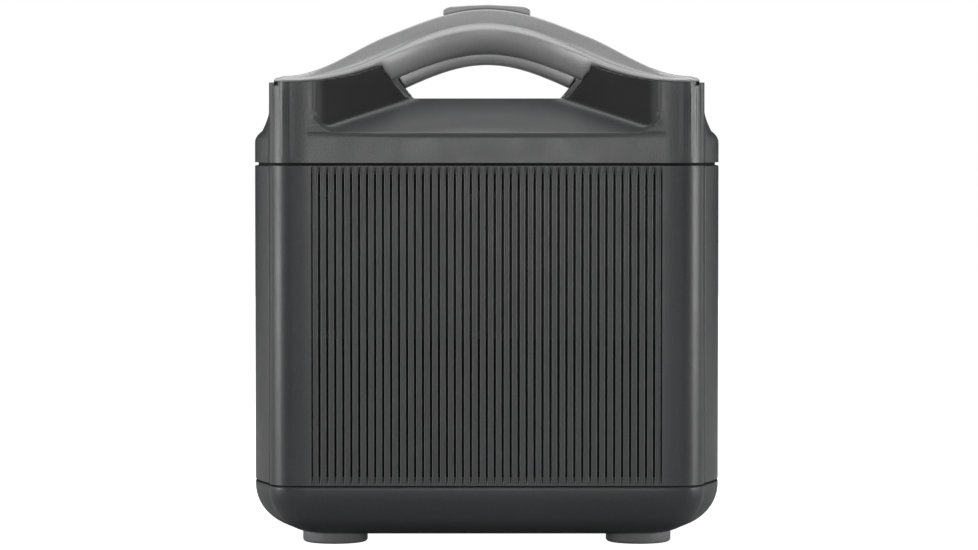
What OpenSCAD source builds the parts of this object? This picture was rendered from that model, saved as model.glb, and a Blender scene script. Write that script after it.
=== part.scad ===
// Portable power station with a fixed carrying handle at each end.
// X runs across the ribbed ends, Y along the body from end to end, Z up from the feet.
// The origin is at the centre of the footprint, on the surface that the feet stand on.

/* [Body] */
// Length of the body from one ribbed end to the other
body_l = 400; // [380:5:420]
// Width across the two bulged long sides
body_w = 230; // [226:1:236]
// Width across the corner posts, inside the bulged long sides
post_w = 212.4; // [208:0.4:214]
// Radius of the upright corners
corner_r = 12; // [10:0.5:14]
// Wall thickness of the housing shells
wall = 3; // [2.5:0.1:3.2]
// Height of the flat top between the handles
deck_z = 219; // [217:1:221]

/* [Seams] */
// Top of the bottom tray
tray_z = 30; // [28:0.5:32]
// Top of the four side shells
shell_z = 186; // [182:0.5:188]
// Height of the dark groove under the top cap
groove_h = 1.5; // [1:0.1:2]

/* [Ribs] */
// Number of upright ribs on each end
rib_count = 44; // [40:2:46]
// Distance from one rib to the next
rib_pitch = 3.868; // [3.6:0.004:3.9]
// Depth of the grooves between the ribs
rib_depth = 1.6; // [1.2:0.1:2]

/* [Handles] */
// Height of the handle's ends, where they sit on the posts
grip_base_z = 227.6; // [226.5:0.1:228.5]
// Rise of the arch above its ends
grip_rise = 25.4; // [23:0.2:27]
// Half of the arch's span
grip_half_span = 93; // [88:1:96]
// Depth of the arch at its middle, front to back
grip_depth = 32; // [30:1:34]

/* [Feet] */
// Height of the feet below the tray
foot_h = 5; // [4:0.5:6]
// Radius of a foot
foot_r = 16; // [14:0.5:18]

/* [Hidden] */
$fn = 48;
gap = 0.3;
half_l = body_l / 2;
half_w = post_w / 2;
bulge = body_w / 2 - half_w;
cap_z = shell_z + groove_h;
tray_roll = 23;
flank_y = 33;
flank_steps = 6;
corner_steps = 6;
shell_low_z = tray_z + 0.6;

foot_x = 75;
foot_y = half_l - 35;
grip_end_x = 103.2;
ramp_low_z = 202;
ramp_run = 35;
ramp_slope = ramp_run / (deck_z - ramp_low_z);
ramp_round = 2.6;
wing_x = 84.2;
wing_slope = 0.7;
wing_round = 4;
wing_fillet = 5;
lip_r = 12;
lip_slope = 3;
pylon_back = 58;
grip_screw_x = 78;
grip_screw_y = half_l - 46;

// Places on the long sides: [y, z]
side_x = body_w / 2;
panel_size = [272, 66];
panel_at = [0, 144];
display_size = [88, 40];
display_at = [-30, 147];
main_button_at = [-104, 147];
main_button_r = 10;
usb_button_at = [118, 146];
dc_button_at = [14, 96];
small_button_r = 6.5;
usb_a_at = [[44, 135], [44, 157], [66, 135], [66, 157]];
usb_c_at = [[88, 135], [88, 157]];
usb_a_size = [13.4, 6.2];
usb_c_size = [9.6, 3.8];
car_at = [92, 84];
car_bore_r = 10.5;
car_depth = 42;
jack_at = [[40, 96], [60, 96]];
outlet_at = [[-99, 134], [-33, 134], [33, 134], [99, 134]];
outlet_size = [44, 48];
ac_button_at = [-112, 72];
inlet_at = [96, 72];
inlet_size = [30, 22];
solar_at = [44, 72];
solar_size = [24, 14];
rate_switch_at = [0, 72];
breaker_at = [-44, 72];
breaker_r = 6;
button_travel = 1.5;
board_posts = [[-120, 172], [-120, 122], [122, 172], [108, 122]];

// Inside
fan_size = 80;
fan_depth = 20;
fan_x = 42;
fan_z = 138;
fan_y = -half_l + 12;
cell_r = 9.2;
cell_h = 65;
cell_pitch = 19.4;
cell_rows = [7, 14];
floor_z = 8.6;
cell_z = floor_z + 3;
strip_t = 0.3;
pack_top_z = cell_z + cell_h + 3;
shelf_z = 88;
shelf_t = 2;
board_z = shelf_z + shelf_t + 6;

// Smooth step from 0 at a to 1 at b
function ease(a, b, t) = let (u = min(1, max(0, (t - a) / (b - a)))) u * u * (3 - 2 * u);

// How far the long side bulges at a place along the body, from 0 at the posts to 1
function flank(y) = let (t = min(1, max(0, (half_l - corner_r - abs(y)) / flank_y))) t * (3 - t * t) / 2;

// The bulge's shoulder on the top cap: full up to the shoulder, then it falls back to the posts
function shoulder(z) = z < 197.5 ? 1 : z < 203 ? 1 - 0.42 * pow((z - 197.5) / 5.5, 2)
    : 0.58 * pow((deck_z - z) / (deck_z - 203), 1.6);

// How far the tray's wall has rolled in at a height
function roll(z) = z > foot_h + tray_roll ? 0
    : tray_roll - sqrt(max(0, pow(tray_roll, 2) - pow(foot_h + tray_roll - z, 2)));

flank_ys = [for (i = [0 : flank_steps]) half_l - corner_r - flank_y * i / flank_steps];

// The body's outline seen from above, going anticlockwise, drawn in by inset
function outline(share, inset) =
    let (
        corner = function (cx, cy, from) [for (i = [1 : corner_steps]) let (a = from + 90 * i / corner_steps)
            [cx + corner_r * cos(a), cy + corner_r * sin(a)]],
        ccx = half_w - corner_r,
        ccy = half_l - corner_r,
        up = [for (i = [0 : 2 * flank_steps + 1])
            i <= flank_steps ? -flank_ys[i] : flank_ys[2 * flank_steps + 1 - i]],
        right = [for (y = up) [half_w + bulge * share * flank(y), y]],
        left = [for (i = [len(up) - 1 : -1 : 0]) [-half_w - bulge * share * flank(up[i]), up[i]]],
        whole = concat(right, corner(ccx, ccy, 0), [[-ccx, half_l]], corner(-ccx, ccy, 90),
                       [for (i = [1 : len(left) - 1]) left[i]], corner(-ccx, -ccy, 180), [[ccx, -half_l]],
                       [for (i = [0 : corner_steps - 2]) corner(ccx, -ccy, 270)[i]])
    )
    [for (p = whole) [p[0] * (1 - inset / half_w), p[1] * (1 - inset / half_l)]];

function at_height(points, z) = [for (p = points) [p[0], p[1], z]];

// A closed solid through a stack of rings with the same number of points
module skin(rings) {
    n = len(rings[0]);
    m = len(rings);
    middle = function (ring) [for (k = [0 : 2]) [for (p = ring) p[k]] * [for (p = ring) 1] / n];
    points = concat([for (r = rings) for (p = r) p], [middle(rings[0]), middle(rings[m - 1])]);
    sides = [for (i = [0 : m - 2]) for (j = [0 : n - 1]) let (k = (j + 1) % n)
        [i * n + j, (i + 1) * n + j, (i + 1) * n + k, i * n + k]];
    triangles = [for (q = sides) each q[0] < n * (m - 1) / 2
        ? [[q[0], q[1], q[2]], [q[0], q[2], q[3]]] : [[q[0], q[1], q[3]], [q[1], q[2], q[3]]]];
    low = [for (j = [0 : n - 1]) [n * m, j, (j + 1) % n]];
    high = [for (j = [0 : n - 1]) [n * m + 1, (m - 1) * n + (j + 1) % n, (m - 1) * n + j]];
    polyhedron(points = points, faces = concat(triangles, low, high));
}

// A profile drawn in X and Z, carried along Y
module along_y(y0, y1) {
    translate([0, y1, 0]) rotate([90, 0, 0]) linear_extrude(y1 - y0) children();
}

// A profile drawn in Y and Z, carried along X
module along_x(x0, x1) {
    translate([x0, 0, 0]) rotate([90, 0, 90]) linear_extrude(x1 - x0) children();
}

// A round bar from one X to another at a place [y, z]
module rod_x(x0, x1, at, r) {
    translate([x0, at[0], at[1]]) rotate([0, 90, 0]) cylinder(r = r, h = x1 - x0);
}

// A block from one X to another, centred at a place [y, z]
module block_x(x0, x1, at, size) {
    translate([x0, at[0] - size[0] / 2, at[1] - size[1] / 2]) cube([x1 - x0, size[0], size[1]]);
}

// A block with rounded upright corners on a long side
module pill_x(x0, x1, at, size, r) {
    along_x(x0, x1) translate(at) union() {
        square([size[0] - 2 * r, size[1]], center = true);
        square([size[0], size[1] - 2 * r], center = true);
        for (sy = [-1, 1], sz = [-1, 1])
            translate([sy * (size[0] / 2 - r), sz * (size[1] / 2 - r)]) circle(r = r);
    }
}

module far_end() {
    rotate([0, 0, 180]) children();
}

// ---- Housing ----

module bottom_tray() {
    steps = [5, 5.4, 6.5, 8.5, 11, 14, 18, 23, 28, tray_z - 1.2, tray_z];
    color("#37383a") difference() {
        skin([for (z = steps) at_height(outline(1, roll(z) + (z == tray_z ? 1 : 0)), z)]);
        for (s = [[18, 5.5], [12, 10], [floor_z, 15.5]])
            translate([0, 0, s[0]]) linear_extrude(tray_z - s[0] + 1) polygon(outline(0, s[1]));
        for (sx = [-1, 1], sy = [-1, 1]) translate([sx * foot_x, sy * foot_y, 0]) {
            cylinder(r = foot_r + 0.3, h = foot_h + 1);
            cylinder(r = 2.1, h = 12);
        }
    }
}

module foot(sx, sy) {
    color("#77787a") translate([sx * foot_x, sy * foot_y, 0]) rotate_extrude() polygon([
        [5, 1], [6, 0], [foot_r - 1.5, 0], [foot_r - 0.45, 0.45], [foot_r, 1.5],
        [foot_r, foot_h + 1], [2.1, foot_h + 1], [2.1, 3], [5, 3]]);
}

module foot_screws() {
    color("#9a9da0") for (sx = [-1, 1], sy = [-1, 1]) translate([sx * foot_x, sy * foot_y, 0]) difference() {
        union() {
            translate([0, 0, 1.2]) cylinder(r = 4, h = 1.8);
            translate([0, 0, 2.9]) cylinder(r = 2, h = 5.7);
        }
        translate([0, 0, 1]) cylinder(r = 1.6, h = 1.2, $fn = 6);
    }
}

// The ribbed end wall with its two rounded corners and a lap behind each long side
module end_shell() {
    lap = 2.8;
    lap_y = half_l - 28;
    half_ribs = rib_count / 2 * rib_pitch;
    crest = 1.0;
    foot_half = 1.55;
    arc = function (r, from) [for (i = [0 : 2 * corner_steps]) let (a = from + 90 * i / (2 * corner_steps))
        [r * cos(a), r * sin(a)]];
    ccx = half_w - corner_r;
    ccy = -half_l + corner_r;
    ribs = [for (i = [0 : rib_count - 1]) let (x = -half_ribs + (i + 0.5) * rib_pitch) each [
        [x - foot_half, -half_l + rib_depth], [x - crest - 0.25, -half_l + 0.3], [x - crest + 0.15, -half_l],
        [x + crest - 0.15, -half_l], [x + crest + 0.25, -half_l + 0.3], [x + foot_half, -half_l + rib_depth]]];
    outer = concat(
        [[-half_w, ccy + 0.5]],
        [for (p = arc(corner_r, 180)) [-ccx + p[0], ccy + p[1]]],
        [[-half_ribs, -half_l]], ribs, [[half_ribs, -half_l]],
        [for (p = arc(corner_r, 270)) [ccx + p[0], ccy + p[1]]],
        [[half_w, ccy + 0.5]]);
    inner_r = corner_r - wall;
    inner = concat(
        [[half_w - wall - gap, ccy + 0.5], [half_w - wall - gap, -lap_y], [half_w - wall - lap, -lap_y]],
        [[half_w - wall - lap, ccy + 0.5], [ccx + 6, -half_l + wall + 4], [ccx + 2, -half_l + wall]],
        [[-ccx - 2, -half_l + wall], [-ccx - 6, -half_l + wall + 4], [-half_w + wall + lap, ccy + 0.5]],
        [[-half_w + wall + lap, -lap_y], [-half_w + wall + gap, -lap_y], [-half_w + wall + gap, ccy + 0.5]]);
    vent_z0 = fan_z - 36;
    vent_h = 72;
    boss_z = [fan_z - 35.5, fan_z + 35.5];
    color("#3a3b3d") union() {
        difference() {
            translate([0, 0, shell_low_z]) linear_extrude(shell_z - shell_low_z) polygon(concat(outer, inner));
            for (i = [1 : rib_count - 1])
                translate([-half_ribs + i * rib_pitch - 0.35, -half_l + rib_depth - 0.2, vent_z0])
                    cube([0.7, wall, vent_h]);
        }
        for (x = [-fan_x, fan_x], sx = [-1, 1], z = boss_z) difference() {
            translate([x + sx * 35.5, -half_l + wall - 0.2, z]) rotate([-90, 0, 0]) cylinder(r = 3.8, h = 9.2);
            translate([x + sx * 35.5, -half_l + wall + 1, z]) rotate([-90, 0, 0]) cylinder(r = 1.9, h = 9);
        }
    }
}

// A bulged long side, as a plan outline carried up
module fascia_blank() {
    run = [for (i = [0 : 2 * flank_steps + 1])
        i <= flank_steps ? -flank_ys[i] : flank_ys[2 * flank_steps + 1 - i]];
    edge = half_l - corner_r - 1;
    face = [for (y = run) [half_w + bulge * flank(y), max(-edge, min(edge, y))]];
    back_x = half_w - wall + 0.2;
    back = [[back_x, edge], [back_x, edge - 12], [side_x - wall, edge - flank_y - 6],
            [side_x - wall, -edge + flank_y + 6], [back_x, -edge + 12], [back_x, -edge]];
    translate([0, 0, shell_low_z]) linear_extrude(shell_z - shell_low_z) polygon(concat(face, back));
}

module front_fascia() {
    color("#3a3b3d") difference() {
        fascia_blank();
        pill_x(side_x - 1.4, side_x + 1, panel_at, panel_size + [0.6, 0.6], 10.3);
        block_x(side_x - 5, side_x, display_at, display_size - [6, 6]);
        rod_x(side_x - 5, side_x, main_button_at, main_button_r + 1.2);
        rod_x(side_x - 5, side_x, usb_button_at, small_button_r + 1);
        rod_x(side_x - 5, side_x + 1, dc_button_at, small_button_r + 0.4);
        for (p = usb_a_at) block_x(side_x - 5, side_x, p, usb_a_size + [0.6, 0.6]);
        for (p = usb_c_at) block_x(side_x - 5, side_x, p, usb_c_size + [0.6, 0.6]);
        for (p = jack_at) rod_x(side_x - 5, side_x + 1, p, 6.05);
        rod_x(side_x - 5, side_x + 1, car_at, 14.05);
    }
    color("#3a3b3d") for (p = board_posts) rod_x(side_x - 15.4, side_x - wall + 0.1, p, 3);
}

module rear_fascia() {
    color("#3a3b3d") mirror([1, 0, 0]) difference() {
        fascia_blank();
        pill_x(side_x - 1.4, side_x + 1, panel_at - [0, 10], panel_size + [0.6, 0.6], 10.3);
        for (p = outlet_at) block_x(side_x - 5, side_x, p, outlet_size - [6, 6]);
        rod_x(side_x - 5, side_x + 1, ac_button_at, small_button_r + 0.4);
        rod_x(side_x - 5, side_x + 1, breaker_at, 8.05);
        block_x(side_x - 5, side_x + 1, rate_switch_at, [13, 5]);
        block_x(side_x - 5, side_x + 1, inlet_at, inlet_size + [0.1, 0.1]);
        block_x(side_x - 5, side_x + 1, solar_at, solar_size + [0.1, 0.1]);
    }
}

// ---- Top cap and handles ----

// The larger and the smaller of two depths, blended over a radius
function blend_max(a, b, r) = let (h = max(0, 4 * r - abs(a - b))) max(a, b) + h * h / (16 * r);
function blend_min(a, b, r) = let (h = max(0, 4 * r - abs(a - b))) min(a, b) - h * h / (16 * r);

// How far the wing wall stands in from the end face, at a distance from the middle
function wing_in(x) = blend_max(0, (wing_x - x) * wing_slope, wing_round * 0.12);

// How far the ramp stands in from the end face, at a height
function ramp_in(z) = blend_max(0, (z - ramp_low_z) * ramp_slope, ramp_round * 0.4);

// How far the pocket's lip lets the walls stand in, round the lower corner
function lip_in(a, b) = lip_slope * (max(0, min(a, b) - lip_r)
    + lip_r - norm([max(0, lip_r - a), max(0, lip_r - b)]));

// The pocket's surface: the ramp and the two wing walls, joined by a fillet, inside the lip
function pocket_in(x, z) = max(0, blend_min(blend_min(ramp_in(z), wing_in(abs(x)), wing_fillet * 0.26),
    lip_in(wing_x - abs(x), z - ramp_low_z), 0.6));

// How far the handle's outer face stands in: along the wing walls, then round the middle of the arch
function setback(x) = let (knee = 45, far = (wing_x - knee) * wing_slope)
    x > wing_x ? 3.2 : x > knee ? 3.2 + (wing_x - x) * wing_slope
    : 3.2 + far + wing_slope * (knee * knee - x * x) / (2 * knee);

// The handle's inner edge, measured from the end face
function inner_edge(x) = let (mid = setback(0) + grip_depth)
    pylon_back + (mid - pylon_back) * (1 - ease(6, 86, x));

// The line along the handle's outer face, where the front band meets the ledge
function arch_z(x) = grip_base_z + (x < grip_half_span ? grip_rise * pow(cos(90 * x / grip_half_span), 2) : 0);

// The pylon's slanted inner end
function slant_z(x) = 231.7 + (x - 50.4) * 1.225;

// The handle's underside: deep over the opening, shallow where it sits on its pylons
function under_z(x) = x > 51.6 ? arch_z(x) - 1 - 2 * (1 - ease(51, 84, x))
    : max(arch_z(x) - 11.6, min(slant_z(x), arch_z(x) - 3));

// The handle's crest
function crest_z(x) = arch_z(x) + 2 + 8.6 * (1 - ease(50, 100, x));

pylon_x = 37.4;
pylon_xs = [50.4, 51.6, 53, 56, 60, 65, 70, 75, 80, 85, 90, 95, 99, 101.5, half_w];

// A post and the wing that runs in from it, before the pocket is cut
module pylon() {
    seat = 0.1;
    steps = [for (i = [0 : 12]) pylon_x + (half_w - 20 - pylon_x) * i / 12];
    arc = [for (i = [0 : 2 * corner_steps]) let (a = 270 + 90 * i / (2 * corner_steps))
        [half_w - corner_r + corner_r * cos(a), -half_l + corner_r + corner_r * sin(a)]];
    plan = concat([[pylon_x, -half_l]], arc, [[half_w, -half_l + pylon_back]],
                  [for (i = [12 : -1 : 0]) [steps[i], -half_l + inner_edge(steps[i])]]);
    front = concat([[half_w + 1, 188], [half_w + 1, under_z(half_w) - seat]],
                   [for (i = [len(pylon_xs) - 1 : -1 : 0]) [pylon_xs[i], under_z(pylon_xs[i]) - seat]],
                   [[41.6, slant_z(41.6) - seat], [39.6, deck_z + 0.9], [pylon_x, deck_z - 0.1],
                    [pylon_x, 188]]);
    intersection() {
        translate([0, 0, 187.6]) linear_extrude(60) polygon(plan);
        along_y(-half_l - 1, -half_l + 120) polygon(front);
    }
}

pocket_xs = [0, 12, 24, 34, 40, 46, 52, 58, 63, 67, 70, 72, 74, 75.5, 77, 78.5, 80, 81.5, 83, 84.5, 86, 88];
pocket_zs = [200.3, 201, 201.7, 202.4, 203.2, 204.2, 205.4, 206.8, 208.4, 210, 212, 214, 216.5, 219, 222,
             226, 230, 236, 242];

// The air in front of the ramp and between the wings
module pocket() {
    xs = concat([for (i = [len(pocket_xs) - 1 : -1 : 1]) -pocket_xs[i]], pocket_xs);
    out = -half_l - 4;
    rings = [for (x = xs) concat([for (z = pocket_zs) [x, -half_l + pocket_in(x, z) - 0.02, z]],
        [for (i = [len(pocket_zs) - 1 : -6 : 0]) [x, out, pocket_zs[i]]])];
    skin(rings);
}

module top_cap() {
    levels = [cap_z, cap_z + 0.7, 197.5, 199.2, 200.8, 202.2, 203.4, 205.5, 208, 211, 215, deck_z - 1, deck_z];
    inner_z = deck_z - wall;
    face_in = wall + 1;
    color("#3a3b3d") difference() {
        union() {
            skin([for (z = levels)
                at_height(outline(shoulder(z), (z == cap_z ? 0.7 : 0) + (z == deck_z ? 1 : 0)), z)]);
            for (turn = [0, 180]) rotate([0, 0, turn]) {
                pylon();
                mirror([1, 0, 0]) pylon();
            }
        }
        for (turn = [0, 180]) rotate([0, 0, turn]) pocket();
        intersection() {
            along_x(-half_w + wall, half_w - wall) polygon([
                [-half_l + face_in, cap_z - 1], [-half_l + face_in, ramp_low_z - wall - 1],
                [-half_l + ramp_run + 4, inner_z], [half_l - ramp_run - 4, inner_z],
                [half_l - face_in, ramp_low_z - wall - 1], [half_l - face_in, cap_z - 1]]);
            translate([0, 0, cap_z - 1]) linear_extrude(50) polygon(outline(0, wall));
        }
        for (sx = [-1, 1], sy = [-1, 1]) translate([sx * grip_screw_x, sy * grip_screw_y, 200])
            cylinder(r = 2.1, h = 40);
    }
}

// One cross-section of the handle in Y and Z at a place across the body
function grip_section(x) =
    let (
        a = abs(x),
        end = ease(98, grip_end_x + 0.6, a),
        yo = -half_l + setback(a) + 1.6 * end,
        yi = -half_l + inner_edge(a) - 2 * end,
        low = under_z(a) + 0.5 * end,
        edge = arch_z(a) - 0.5 * end,
        top = crest_z(a) - 1.0 * end,
        tall = edge - low,
        mid = 1 - ease(45, 96, a),
        ledge_up = 1.7 + 1.7 * (1 - ease(20, 70, a)) - 0.9 * ease(80, 100, a),
        ledge_in = 1.6 + 1.4 * mid,
        sweep = 1.2 + 3.6 * mid,
        belly = tall * (0.62 + 0.2 * mid),
        in_r = min(5, (top - low) * 0.3),
        front = [for (i = [0 : 6]) let (t = 90 * i / 6)
            [yo + belly * (1 - cos(t)), edge - tall * sin(t)]],
        rise = [for (i = [1 : 5]) let (s = i / 5)
            [yo + ledge_in + sweep * pow(s, 1.3), edge + ledge_up + (top - edge - ledge_up - 0.7) * s]]
    )
    concat(
        [for (i = [1 : 6]) front[i]],
        [[yi - in_r, low], [yi - 0.62 * in_r, low + 0.08 * in_r], [yi - 0.3 * in_r, low + 0.3 * in_r],
         [yi - 0.08 * in_r, low + 0.62 * in_r], [yi, low + in_r], [yi, top - in_r],
         [yi - 0.3 * in_r, top - 0.3 * in_r], [yi - in_r, top - 0.02], [yo + ledge_in + sweep + 4.5, top],
         [yo + ledge_in + sweep + 2.2, top - 0.15], [yo + ledge_in + sweep + 0.9, top - 0.4]],
        [for (i = [4 : -1 : 0]) rise[i]],
        [[yo + ledge_in, edge + ledge_up], [yo + 0.25, edge + 0.25]],
        [[yo, edge - 0.05]]);

grip_half_xs = [0, 4, 8, 12, 16, 20, 24, 28, 32, 36, 40, 44, 46, 47.3, 48.5, 50.4, 51.6, 53, 56, 60, 64, 68, 72,
                76, 80, 84, 88, 92, 95, 98, 100.5, 102.2, grip_end_x];

module handle() {
    n = len(grip_half_xs);
    xs = concat([for (i = [n - 1 : -1 : 1]) -grip_half_xs[i]], grip_half_xs);
    rings = [for (x = xs) [for (p = grip_section(x)) [x, p[0], p[1]]]];
    color("#8d8f92") difference() {
        skin(rings);
        for (sx = [-1, 1]) translate([sx * grip_screw_x, -grip_screw_y, 200]) cylinder(r = 2.05, h = 32);
    }
}

// A raised pad on the middle of the crest
module handle_pad() {
    reach = 21.8;
    xs = [for (i = [-6 : 6]) reach * i / 6];
    y0 = -half_l + setback(0) + 12.5;
    profile = concat(
        [for (x = xs) [x, crest_z(abs(x)) + 0.05]],
        [[reach - 0.4, 263.4], [reach - 1.4, 264.4], [reach - 3.5, 265], [reach - 10, 265.6], [0, 266],
         [-reach + 10, 265.6], [-reach + 3.5, 265], [-reach + 1.4, 264.4], [-reach + 0.4, 263.4]]);
    color("#9b9da0") along_y(y0, y0 + 14) polygon(profile);
}

module handle_screws() {
    color("#9a9da0") for (sx = [-1, 1], sy = [-1, 1]) translate([sx * grip_screw_x, sy * grip_screw_y, 0]) {
        translate([0, 0, deck_z - wall - 2.4]) cylinder(r = 4, h = 2.4);
        translate([0, 0, deck_z - wall - 0.1]) cylinder(r = 2, h = 231.8 - deck_z + wall);
    }
}

// The two gaskets that show as the dark lines of the seams
module seam_seals() {
    color("#141415") for (span = [[tray_z, shell_low_z], [shell_z, cap_z]])
        translate([0, 0, span[0]]) linear_extrude(span[1] - span[0]) difference() {
            polygon(outline(1, 1.5));
            polygon(outline(0, wall + 1.5));
        }
}

// ---- Front long side: display, buttons and low-voltage ports ----

module port_panel() {
    x0 = side_x - 1.3;
    x1 = side_x + 0.2;
    color("#1b1c1e") difference() {
        pill_x(x0, x1, panel_at, panel_size, 10);
        block_x(x0 - 1, x1 + 1, display_at, display_size + [0.4, 0.4]);
        rod_x(x0 - 1, x1 + 1, main_button_at, main_button_r + 0.4);
        rod_x(x0 - 1, x1 + 1, usb_button_at, small_button_r + 0.4);
        for (p = usb_a_at) block_x(x0 - 1, x1 + 1, p, usb_a_size + [0.2, 0.2]);
        for (p = usb_c_at) block_x(x0 - 1, x1 + 1, p, usb_c_size + [0.2, 0.2]);
    }
}

module display_window() {
    color("#0c0d0f") pill_x(side_x - 1.3, side_x + 0.3, display_at, display_size, 0.8);
}

module display_module() {
    color("#2a4a3a") union() {
        block_x(side_x - 15.4, side_x - 3.4, display_at, display_size + [4, 4]);
        block_x(side_x - 3.5, side_x - 1.5, display_at, display_size - [8, 8]);
    }
}

// A round push button whose skirt sits behind the panel
module round_button(x_face, at, r) {
    rod_x(x_face - 8, x_face, at, r);
    rod_x(x_face - 10.5, x_face - 7.9, at, r + 1.8);
}

module main_button() {
    color("#c9ccd0") round_button(side_x + 1.6, main_button_at, main_button_r);
}

module usb_button() {
    color("#c9ccd0") round_button(side_x + 1.6, usb_button_at, small_button_r);
}

module dc_button() {
    color("#c9ccd0") round_button(side_x + 1.4, dc_button_at, small_button_r);
}

// A metal port shell with its contact tongue, standing on the board behind the panel
module port(at, size, skin_t, tongue) {
    x1 = side_x + 0.1;
    depth = 15.5;
    union() {
        difference() {
            block_x(x1 - depth, x1, at, size);
            block_x(x1 - depth + 3, x1 + 1, at, size - [2 * skin_t, 2 * skin_t]);
        }
        block_x(x1 - depth + 2, x1 - 1.5, at, tongue);
    }
}

module usb_a_ports() {
    color("#b9bcc0") for (p = usb_a_at) port(p, usb_a_size, 0.5, [11, 1.6]);
}

module usb_c_ports() {
    color("#b9bcc0") for (p = usb_c_at) port(p, usb_c_size, 0.5, [6.6, 0.7]);
}

module dc_jacks() {
    x1 = side_x + 0.6;
    color("#202123") for (p = jack_at) union() {
        difference() {
            union() {
                rod_x(x1 - 14, x1, p, 6);
                rod_x(x1 - 0.5, x1 + 0.2, p, 7.2);
            }
            rod_x(x1 - 12, x1 + 2, p, 2.75);
        }
        rod_x(x1 - 12.5, x1 - 2, p, 1.05);
    }
}

module car_socket() {
    x1 = side_x + 1;
    color("#26272a") difference() {
        union() {
            rod_x(x1 - car_depth - 3, x1 - 0.9, car_at, 14);
            rod_x(x1 - 0.95, x1 + 1.2, car_at, 17);
        }
        rod_x(x1 - car_depth, x1 + 2, car_at, car_bore_r);
    }
}

// The socket's cap turns up about a pin along Y above the flange
car_hinge = [side_x + 3.7, car_at[1] + 20.5];

module car_socket_cap() {
    x0 = side_x + 2.5;
    color("#2b2c2f") difference() {
        union() {
            rod_x(x0, x0 + 2.6, car_at, 16.5);
            block_x(x0, x0 + 2.6, car_at + [0, 15.5], [10, 7]);
            translate([car_hinge[0], car_at[0] - 5, car_hinge[1]]) rotate([-90, 0, 0]) cylinder(r = 2.2, h = 10);
            rod_x(x0, x0 + 4.4, car_at - [0, 13.5], 1.8);
        }
        translate([car_hinge[0], car_at[0] - 6, car_hinge[1]]) rotate([-90, 0, 0]) cylinder(r = 1.05, h = 12);
    }
}

// The board behind the panel, with the switches that the buttons press
module port_board() {
    color("#2f6a44") union() {
        block_x(side_x - 17, side_x - 15.4, [0, 147], [256, 58]);
        block_x(side_x - 17, side_x - 15.4, [34, 105], [76, 28]);
        for (p = [main_button_at, usb_button_at, dc_button_at]) block_x(side_x - 15.5, side_x - 11.2, p, [8, 8]);
        for (y = [-60, 0, 60]) block_x(side_x - 24, side_x - 16.9, [y, 132], [16, 10]);
    }
}

// ---- Rear long side: mains outlets and inputs ----

module outlet_panel() {
    x0 = side_x - 1.3;
    x1 = side_x + 0.2;
    color("#1b1c1e") mirror([1, 0, 0]) difference() {
        pill_x(x0, x1, panel_at - [0, 10], panel_size, 10);
        for (p = outlet_at) block_x(x0 - 1, x1 + 1, p, outlet_size + [0.3, 0.3]);
    }
}

// One earthed outlet: two blade slots and a round earth hole
module ac_outlet(p) {
    x1 = side_x + 1.2;
    color("#2a2b2e") mirror([1, 0, 0]) difference() {
        union() {
            block_x(side_x - 1.3, x1, p, outlet_size);
            block_x(side_x - 16, side_x - 1.2, p, outlet_size - [8, 8]);
        }
        block_x(side_x - 12, x1 + 1, p + [-6.35, 5], [1.9, 7.4]);
        block_x(side_x - 12, x1 + 1, p + [6.35, 5], [2.2, 8.6]);
        rod_x(side_x - 12, x1 + 1, p - [0, 7], 2.6);
    }
}

module ac_button() {
    color("#c9ccd0") mirror([1, 0, 0]) round_button(side_x + 1.4, ac_button_at, small_button_r);
}

// The mains inlet: a deep shroud with three contact blades
module ac_inlet() {
    x1 = side_x + 0.4;
    color("#202123") mirror([1, 0, 0]) union() {
        difference() {
            block_x(side_x - 22, x1, inlet_at, inlet_size);
            block_x(side_x - 19, x1 + 1, inlet_at, inlet_size - [5, 5]);
        }
        for (y = [-7, 7]) block_x(side_x - 20, side_x - 6, inlet_at + [y, -2], [2, 4]);
        block_x(side_x - 20, side_x - 6, inlet_at + [0, 2], [2, 4]);
    }
}

module solar_inlet() {
    x1 = side_x + 0.4;
    color("#202123") mirror([1, 0, 0]) union() {
        difference() {
            block_x(side_x - 20, x1, solar_at, solar_size);
            block_x(side_x - 17, x1 + 1, solar_at, solar_size - [4, 4]);
        }
        for (y = [-4.5, 4.5]) rod_x(side_x - 18, side_x - 6, solar_at + [y, 0], 2.2);
    }
}

// A flap that turns up about a pin along Y, just above its inlet
function flap_hinge(at, size) = [side_x + 2.2, at[1] + size[1] / 2 + 6];

module inlet_cover(at, size) {
    x0 = side_x + 0.7;
    hinge = flap_hinge(at, size);
    color("#2b2c2f") mirror([1, 0, 0]) difference() {
        union() {
            pill_x(x0, x0 + 2.2, at, size + [6, 6], 3);
            block_x(x0, x0 + 2.2, at + [0, size[1] / 2 + 4], [12, 4]);
            translate([hinge[0], at[0] - 6, hinge[1]]) rotate([-90, 0, 0]) cylinder(r = 1.8, h = 12);
            pill_x(x0, x0 + 3.4, at - [0, size[1] / 2 + 1], [10, 2], 0.9);
        }
        translate([hinge[0], at[0] - 7, hinge[1]]) rotate([-90, 0, 0]) cylinder(r = 1.05, h = 14);
    }
}

module hinge_pin(x, y, z, reach) {
    translate([x, y - reach, z]) rotate([-90, 0, 0]) cylinder(r = 1, h = 2 * reach);
    for (s = [-1, 1]) translate([side_x, y + s * reach - (s > 0 ? 0 : 2), z - 2])
        cube([x - side_x + 2, 2, 4]);
}

// Each cover's steel pin with the two lugs that carry it
module hinge_pins() {
    color("#3f4043") union() {
        hinge_pin(car_hinge[0], car_at[0], car_hinge[1], 5.4);
        mirror([1, 0, 0]) {
            for (f = [[inlet_at, inlet_size], [solar_at, solar_size]])
                hinge_pin(flap_hinge(f[0], f[1])[0], f[0][0], flap_hinge(f[0], f[1])[1], 6.4);
        }
    }
}

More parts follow.
